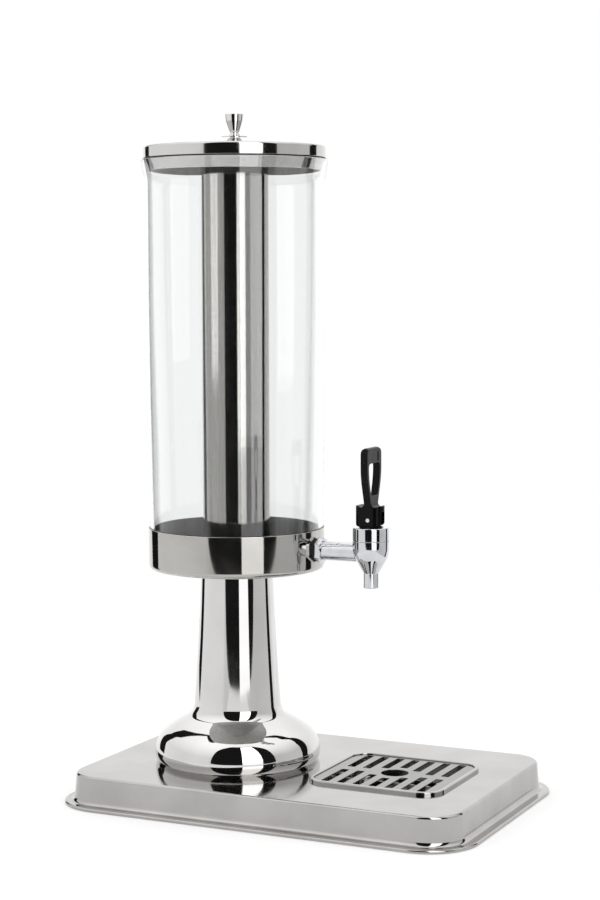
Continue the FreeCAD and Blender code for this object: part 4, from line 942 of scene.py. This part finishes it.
def make_lever():
    """The lever's moulding: its solid with every edge softened as a mould's parting and polish leave it."""
    piece = new_object("moulded_lever", frame["nodes"]["tap_lever"].data.copy())
    weld = piece.modifiers.new("weld", "WELD")
    weld.merge_threshold = LEVER_WELD * MM
    remesh = piece.modifiers.new("skin", "REMESH")
    remesh.mode = "VOXEL"
    remesh.voxel_size = LEVER_VOXEL * MM
    soften = piece.modifiers.new("soften", "SMOOTH")
    soften.iterations = LEVER_SOFTEN
    soften.factor = SOFTEN_SHARE
    mesh = evaluated_mesh(piece)
    piece.modifiers.clear()
    piece.data = mesh
    mesh.shade_smooth()
    mesh.materials.clear()
    mesh.materials.append(FINISHES["lever_plastic"])
    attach(piece, "tap_lever")
    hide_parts("tap_lever")


# Studio -----------------------------------------------------------------------------------------------------

# Brightness, where 1 is white.
BACKDROP = 1.2
CEILING = 1.5
LEFT_TENT = 1.08
RIGHT_TENT = 0.80
BLACK = 0.012
WHITE_PANEL = 1.6
SOFT_BOX = 3.0
DULL_LIGHT = 0.85
TABLE_GLOW = 0.3

# Lengths in metres: the table from the pedestal, and how far the boards stand from the tent's middle.
TABLE_FRONT = 1.3
TABLE_BACK = 0.9
TABLE_SIDE = 0.5
TENT_MIDDLE = 0.1
OPENING_REACH = 1.24
PANEL_REACH = 1.22
GAP_REACH = 1.18

# The tent turns into its ceiling between these heights of a direction, where 1 is straight up.
CEILING_START = 0.35
CEILING_END = 0.9

# How bright the tent is round the horizon, by degrees to the right of the camera.
TENT_ROUND = (
    (-180, BACKDROP),
    (-150, BACKDROP),
    (-120, LEFT_TENT),
    (-42, LEFT_TENT * 0.95),
    (-35, LEFT_TENT * 0.8),
    (54, RIGHT_TENT * 0.9),
    (104, RIGHT_TENT),
    (128, BACKDROP),
    (180, BACKDROP),
)

# The dark gaps where the tent's front ends: degrees right of the camera, degrees up, and half the width.
LEFT_GAP = (
    (-129, -30, 9.0),
    (-129, -2, 9.0),
    (-137, 8, 9.5),
    (-138, 24, 8.0),
    (-139, 31, 4.5),
    (-131, 48, 2.4),
    (-125, 63, 1.8),
    (-95, 71, 1.6),
)
RIGHT_GAP = (
    (104, -30, 6.0),
    (104, -2, 6.0),
    (106, 8, 7.0),
    (112, 26, 7.5),
    (122, 41, 5.0),
    (123, 56, 2.4),
    (118, 68, 1.6),
)
BOARD_STEPS = 72
BOARD_ROWS = 24
GAP_STEPS = 8

# The foot of a window rises at its corners by this share of a full round.
FOOT_LIFT = 0.2


def towards_camera():
    """Angle about the upright axis, from the pedestal to the camera."""
    return math.atan2(CAMERA_PLACE[1], CAMERA_PLACE[0] - PEDESTAL_X * MM)


def ways_seen(tree):
    """Two values, each 0 or 1: seen by itself or through clear plastic, and seen in a polished surface."""
    path = add(tree, "ShaderNodeLightPath")
    mirrors = path.outputs["Glossy Depth"]
    bounces = add(tree, "ShaderNodeMath", {0: mirrors, 1: path.outputs["Diffuse Depth"]}, operation="ADD")
    direct = add(tree, "ShaderNodeMath", {0: bounces.outputs["Value"], 1: 0.5}, operation="LESS_THAN")
    mirrored = add(tree, "ShaderNodeMath", {0: mirrors, 1: 0.5}, operation="GREATER_THAN")
    return direct.outputs["Value"], mirrored.outputs["Value"]


def make_world():
    """White background, plain light on dull surfaces, and the pale tent that polished ones mirror."""
    world = bpy.data.worlds.new("studio_tent")
    bpy.context.scene.world = world
    tree = empty_tree(world)
    place = add(tree, "ShaderNodeTexCoord")
    turned = add(tree, "ShaderNodeVectorRotate", {
        "Vector": place.outputs["Generated"],
        "Axis": (0.0, 0.0, 1.0),
        "Angle": -towards_camera(),
    })
    parts = add(tree, "ShaderNodeSeparateXYZ", {"Vector": turned.outputs["Vector"]})
    angle = add(tree, "ShaderNodeMath", {0: parts.outputs["Y"], 1: parts.outputs["X"]}, operation="ARCTAN2")
    way_round = add(tree, "ShaderNodeMapRange", {
        "Value": angle.outputs["Value"],
        "From Min": -math.pi,
        "From Max": math.pi,
    })
    wall = add(tree, "ShaderNodeValToRGB", {"Fac": way_round.outputs["Result"]})
    stops = wall.color_ramp.elements
    while len(stops) > 1:
        stops.remove(stops[-1])
    for index, (degrees, level) in enumerate(TENT_ROUND):
        position = 0.5 + degrees / 360
        stop = stops[0] if index == 0 else stops.new(position)
        stop.position = position
        stop.color = grey(level)
    rise = add(tree, "ShaderNodeMapRange", {
        "Value": parts.outputs["Z"],
        "From Min": CEILING_START,
        "From Max": CEILING_END,
    })
    tent = add(tree, "ShaderNodeMix", {
        "Factor": rise.outputs["Result"],
        MIX_FIRST: wall.outputs["Color"],
        MIX_SECOND: grey(CEILING),
    }, data_type="RGBA")
    direct, mirrored = ways_seen(tree)
    bounced = add(tree, "ShaderNodeMix", {
        "Factor": mirrored,
        MIX_FIRST: grey(DULL_LIGHT),
        MIX_SECOND: tent.outputs[MIX_RESULT],
    }, data_type="RGBA")
    seen = add(tree, "ShaderNodeMix", {
        "Factor": direct,
        MIX_FIRST: bounced.outputs[MIX_RESULT],
        MIX_SECOND: grey(1.0),
    }, data_type="RGBA")
    background = add(tree, "ShaderNodeBackground", {"Color": seen.outputs[MIX_RESULT]})
    add(tree, "ShaderNodeOutputWorld", {"Surface": background.outputs["Background"]})


def board_material(name, level):
    """Plain lit or dark board that only a polished surface sees."""
    material = bpy.data.materials.new(name)
    tree = empty_tree(material)
    mirrored = ways_seen(tree)[1]
    clear = add(tree, "ShaderNodeBsdfTransparent")
    board = add(tree, "ShaderNodeEmission", {"Color": grey(level)})
    seen = add(tree, "ShaderNodeMixShader", {
        "Fac": mirrored,
        1: clear.outputs["BSDF"],
        2: board.outputs["Emission"],
    })
    add(tree, "ShaderNodeOutputMaterial", {"Surface": seen.outputs["Shader"]})
    return material


def tent_point(degrees, rise, reach):
    """Place on a ball round the pedestal, from degrees right of the camera and degrees up."""
    turn = towards_camera() + math.radians(degrees)
    up = math.radians(rise)
    return (
        PEDESTAL_X * MM + reach * math.cos(up) * math.cos(turn),
        reach * math.cos(up) * math.sin(turn),
        TENT_MIDDLE + reach * math.sin(up),
    )


def make_board(name, level, reach, columns):
    """Bent board from its columns, each a list of places from its foot to its top."""
    rows = len(columns[0])
    points = [tent_point(degrees, rise, reach) for column in columns for degrees, rise in column]
    faces = [
        (start + row, start + rows + row, start + rows + row + 1, start + row + 1)
        for start in range(0, len(points) - rows, rows)
        for row in range(rows - 1)
    ]
    mesh = bpy.data.meshes.new(name)
    mesh.from_pydata(points, [], faces)
    mesh.materials.append(board_material(name, level))
    board = new_object(name, mesh)
    board.visible_camera = False
    board.visible_diffuse = False
    board.visible_shadow = False


def window_columns(left, right, foot, top, foot_round=0, top_round=0):
    """Columns of a board between two directions and two heights, all in degrees, with round corners."""
    columns = []
    for step in range(BOARD_STEPS + 1):
        degrees = left + (right - left) * step / BOARD_STEPS
        ends = []
        for radius in (foot_round, top_round):
            inside = min(degrees - left, right - degrees, radius)
            ends.append(radius - math.sqrt(max(radius ** 2 - (radius - inside) ** 2, 0.0)))
        low = foot + ends[0] * FOOT_LIFT
        high = top - ends[1]
        columns.append([(degrees, low + (high - low) * row / BOARD_ROWS) for row in range(BOARD_ROWS + 1)])
    return columns


def gap_columns(line):
    """Columns across a narrow gap, from the places and half widths along it."""
    columns = []
    for (degrees, rise, half), (next_degrees, next_rise, next_half) in zip(line, line[1:]):
        for step in range(GAP_STEPS):
            share = step / GAP_STEPS
            middle = Vector((degrees, rise)).lerp(Vector((next_degrees, next_rise)), share)
            along = Vector((next_degrees - degrees, next_rise - rise)).normalized()
            across = Vector((along.y, -along.x)) * (half + (next_half - half) * share)
            columns.append([tuple(middle - across), tuple(middle + across)])
    return columns


def make_boards():
    """Black opening round the camera, with a white panel and a soft box in it, and a gap on either side."""
    opening = window_columns(left=-37, right=52, foot=-4.2, top=68, foot_round=20, top_round=24)
    panel = window_columns(left=6, right=33.5, foot=-4.5, top=4)
    box = window_columns(left=6, right=33.5, foot=4, top=66)
    make_board("camera_opening", BLACK, OPENING_REACH, opening)
    make_board("white_panel", WHITE_PANEL, PANEL_REACH, panel)
    make_board("soft_box", SOFT_BOX, PANEL_REACH, box)
    make_board("left_gap", BLACK, GAP_REACH, gap_columns(LEFT_GAP))
    make_board("right_gap", BLACK, GAP_REACH, gap_columns(RIGHT_GAP))


def table_material():
    """Matt pale board, which glows a little where the camera sees it, so that it clears to white."""
    material = bpy.data.materials.new("pale_table")
    tree = empty_tree(material)
    direct = ways_seen(tree)[0]
    matt = add(tree, "ShaderNodeBsdfDiffuse", {"Color": srgb("#dedede")})
    glow = add(tree, "ShaderNodeEmission", {"Color": grey(1.0), "Strength": TABLE_GLOW})
    lit = add(tree, "ShaderNodeAddShader", {0: matt.outputs["BSDF"], 1: glow.outputs["Emission"]})
    seen = add(tree, "ShaderNodeMixShader", {
        "Fac": direct,
        1: matt.outputs["BSDF"],
        2: lit.outputs["Shader"],
    })
    add(tree, "ShaderNodeOutputMaterial", {"Surface": seen.outputs["Shader"]})
    return material


def make_floor():
    """Table top, a rectangle turned to face the camera."""
    turn = Matrix.Rotation(towards_camera(), 3, "Z")
    pedestal = Vector((PEDESTAL_X * MM, 0.0, 0.0))
    corners = [
        (-TABLE_BACK, -TABLE_SIDE),
        (TABLE_FRONT, -TABLE_SIDE),
        (TABLE_FRONT, TABLE_SIDE),
        (-TABLE_BACK, TABLE_SIDE),
    ]
    mesh = bpy.data.meshes.new("table_top")
    edge = [pedestal + turn @ Vector((forward, side, 0.0)) for forward, side in corners]
    mesh.from_pydata(edge, [], [(0, 1, 2, 3)])
    mesh.materials.append(table_material())
    floor = new_object("table_top", mesh)


def make_lamp(name, place, aim, size, power):
    """Soft box that lights the object but isn't itself seen in polished surfaces."""
    data = bpy.data.lights.new(name, "AREA")
    data.shape = "RECTANGLE"
    data.size = size[0]
    data.size_y = size[1]
    data.energy = power
    lamp = new_object(name, data)
    lamp.location = place
    lamp.rotation_euler = (Vector(aim) - Vector(place)).to_track_quat("-Z", "Y").to_euler()
    lamp.visible_glossy = False


def make_lamps():
    """One large soft box overhead and one to the left of the camera."""
    middle = (0.0, 0.0, 0.25)
    make_lamp("overhead_box", (0.1, 0.2, 1.9), middle, size=(1.6, 1.6), power=9.0)
    make_lamp("left_box", (-1.4, -1.2, 0.9), middle, size=(1.0, 1.4), power=6.0)


def make_camera():
    """Long lens at the height of the tank, a little above the tap."""
    camera = bpy.data.cameras.new("camera")
    camera.sensor_width = 36.0
    camera.lens = CAMERA_LENS
    camera.clip_end = 50.0
    holder = new_object("camera", camera)
    level = Euler((math.pi / 2 - CAMERA_PITCH, 0.0, CAMERA_YAW)).to_matrix().to_4x4()
    roll = Matrix.Rotation(CAMERA_ROLL, 4, "Z")
    holder.matrix_world = Matrix.Translation(CAMERA_PLACE) @ level @ roll
    bpy.context.scene.camera = holder


make_camera()
dress_frame()
make_base()
make_tray()
make_grille()
make_pedestal()
make_collar()
make_tank()
make_ice_tube()
make_lid()
make_knob()
make_tap_body()
make_bonnet()
make_spring()
make_pipe_nut()
make_pipe()
make_lever()
make_world()
make_boards()
make_floor()
make_lamps()
bpy.context.scene.view_settings.view_transform = "Standard"
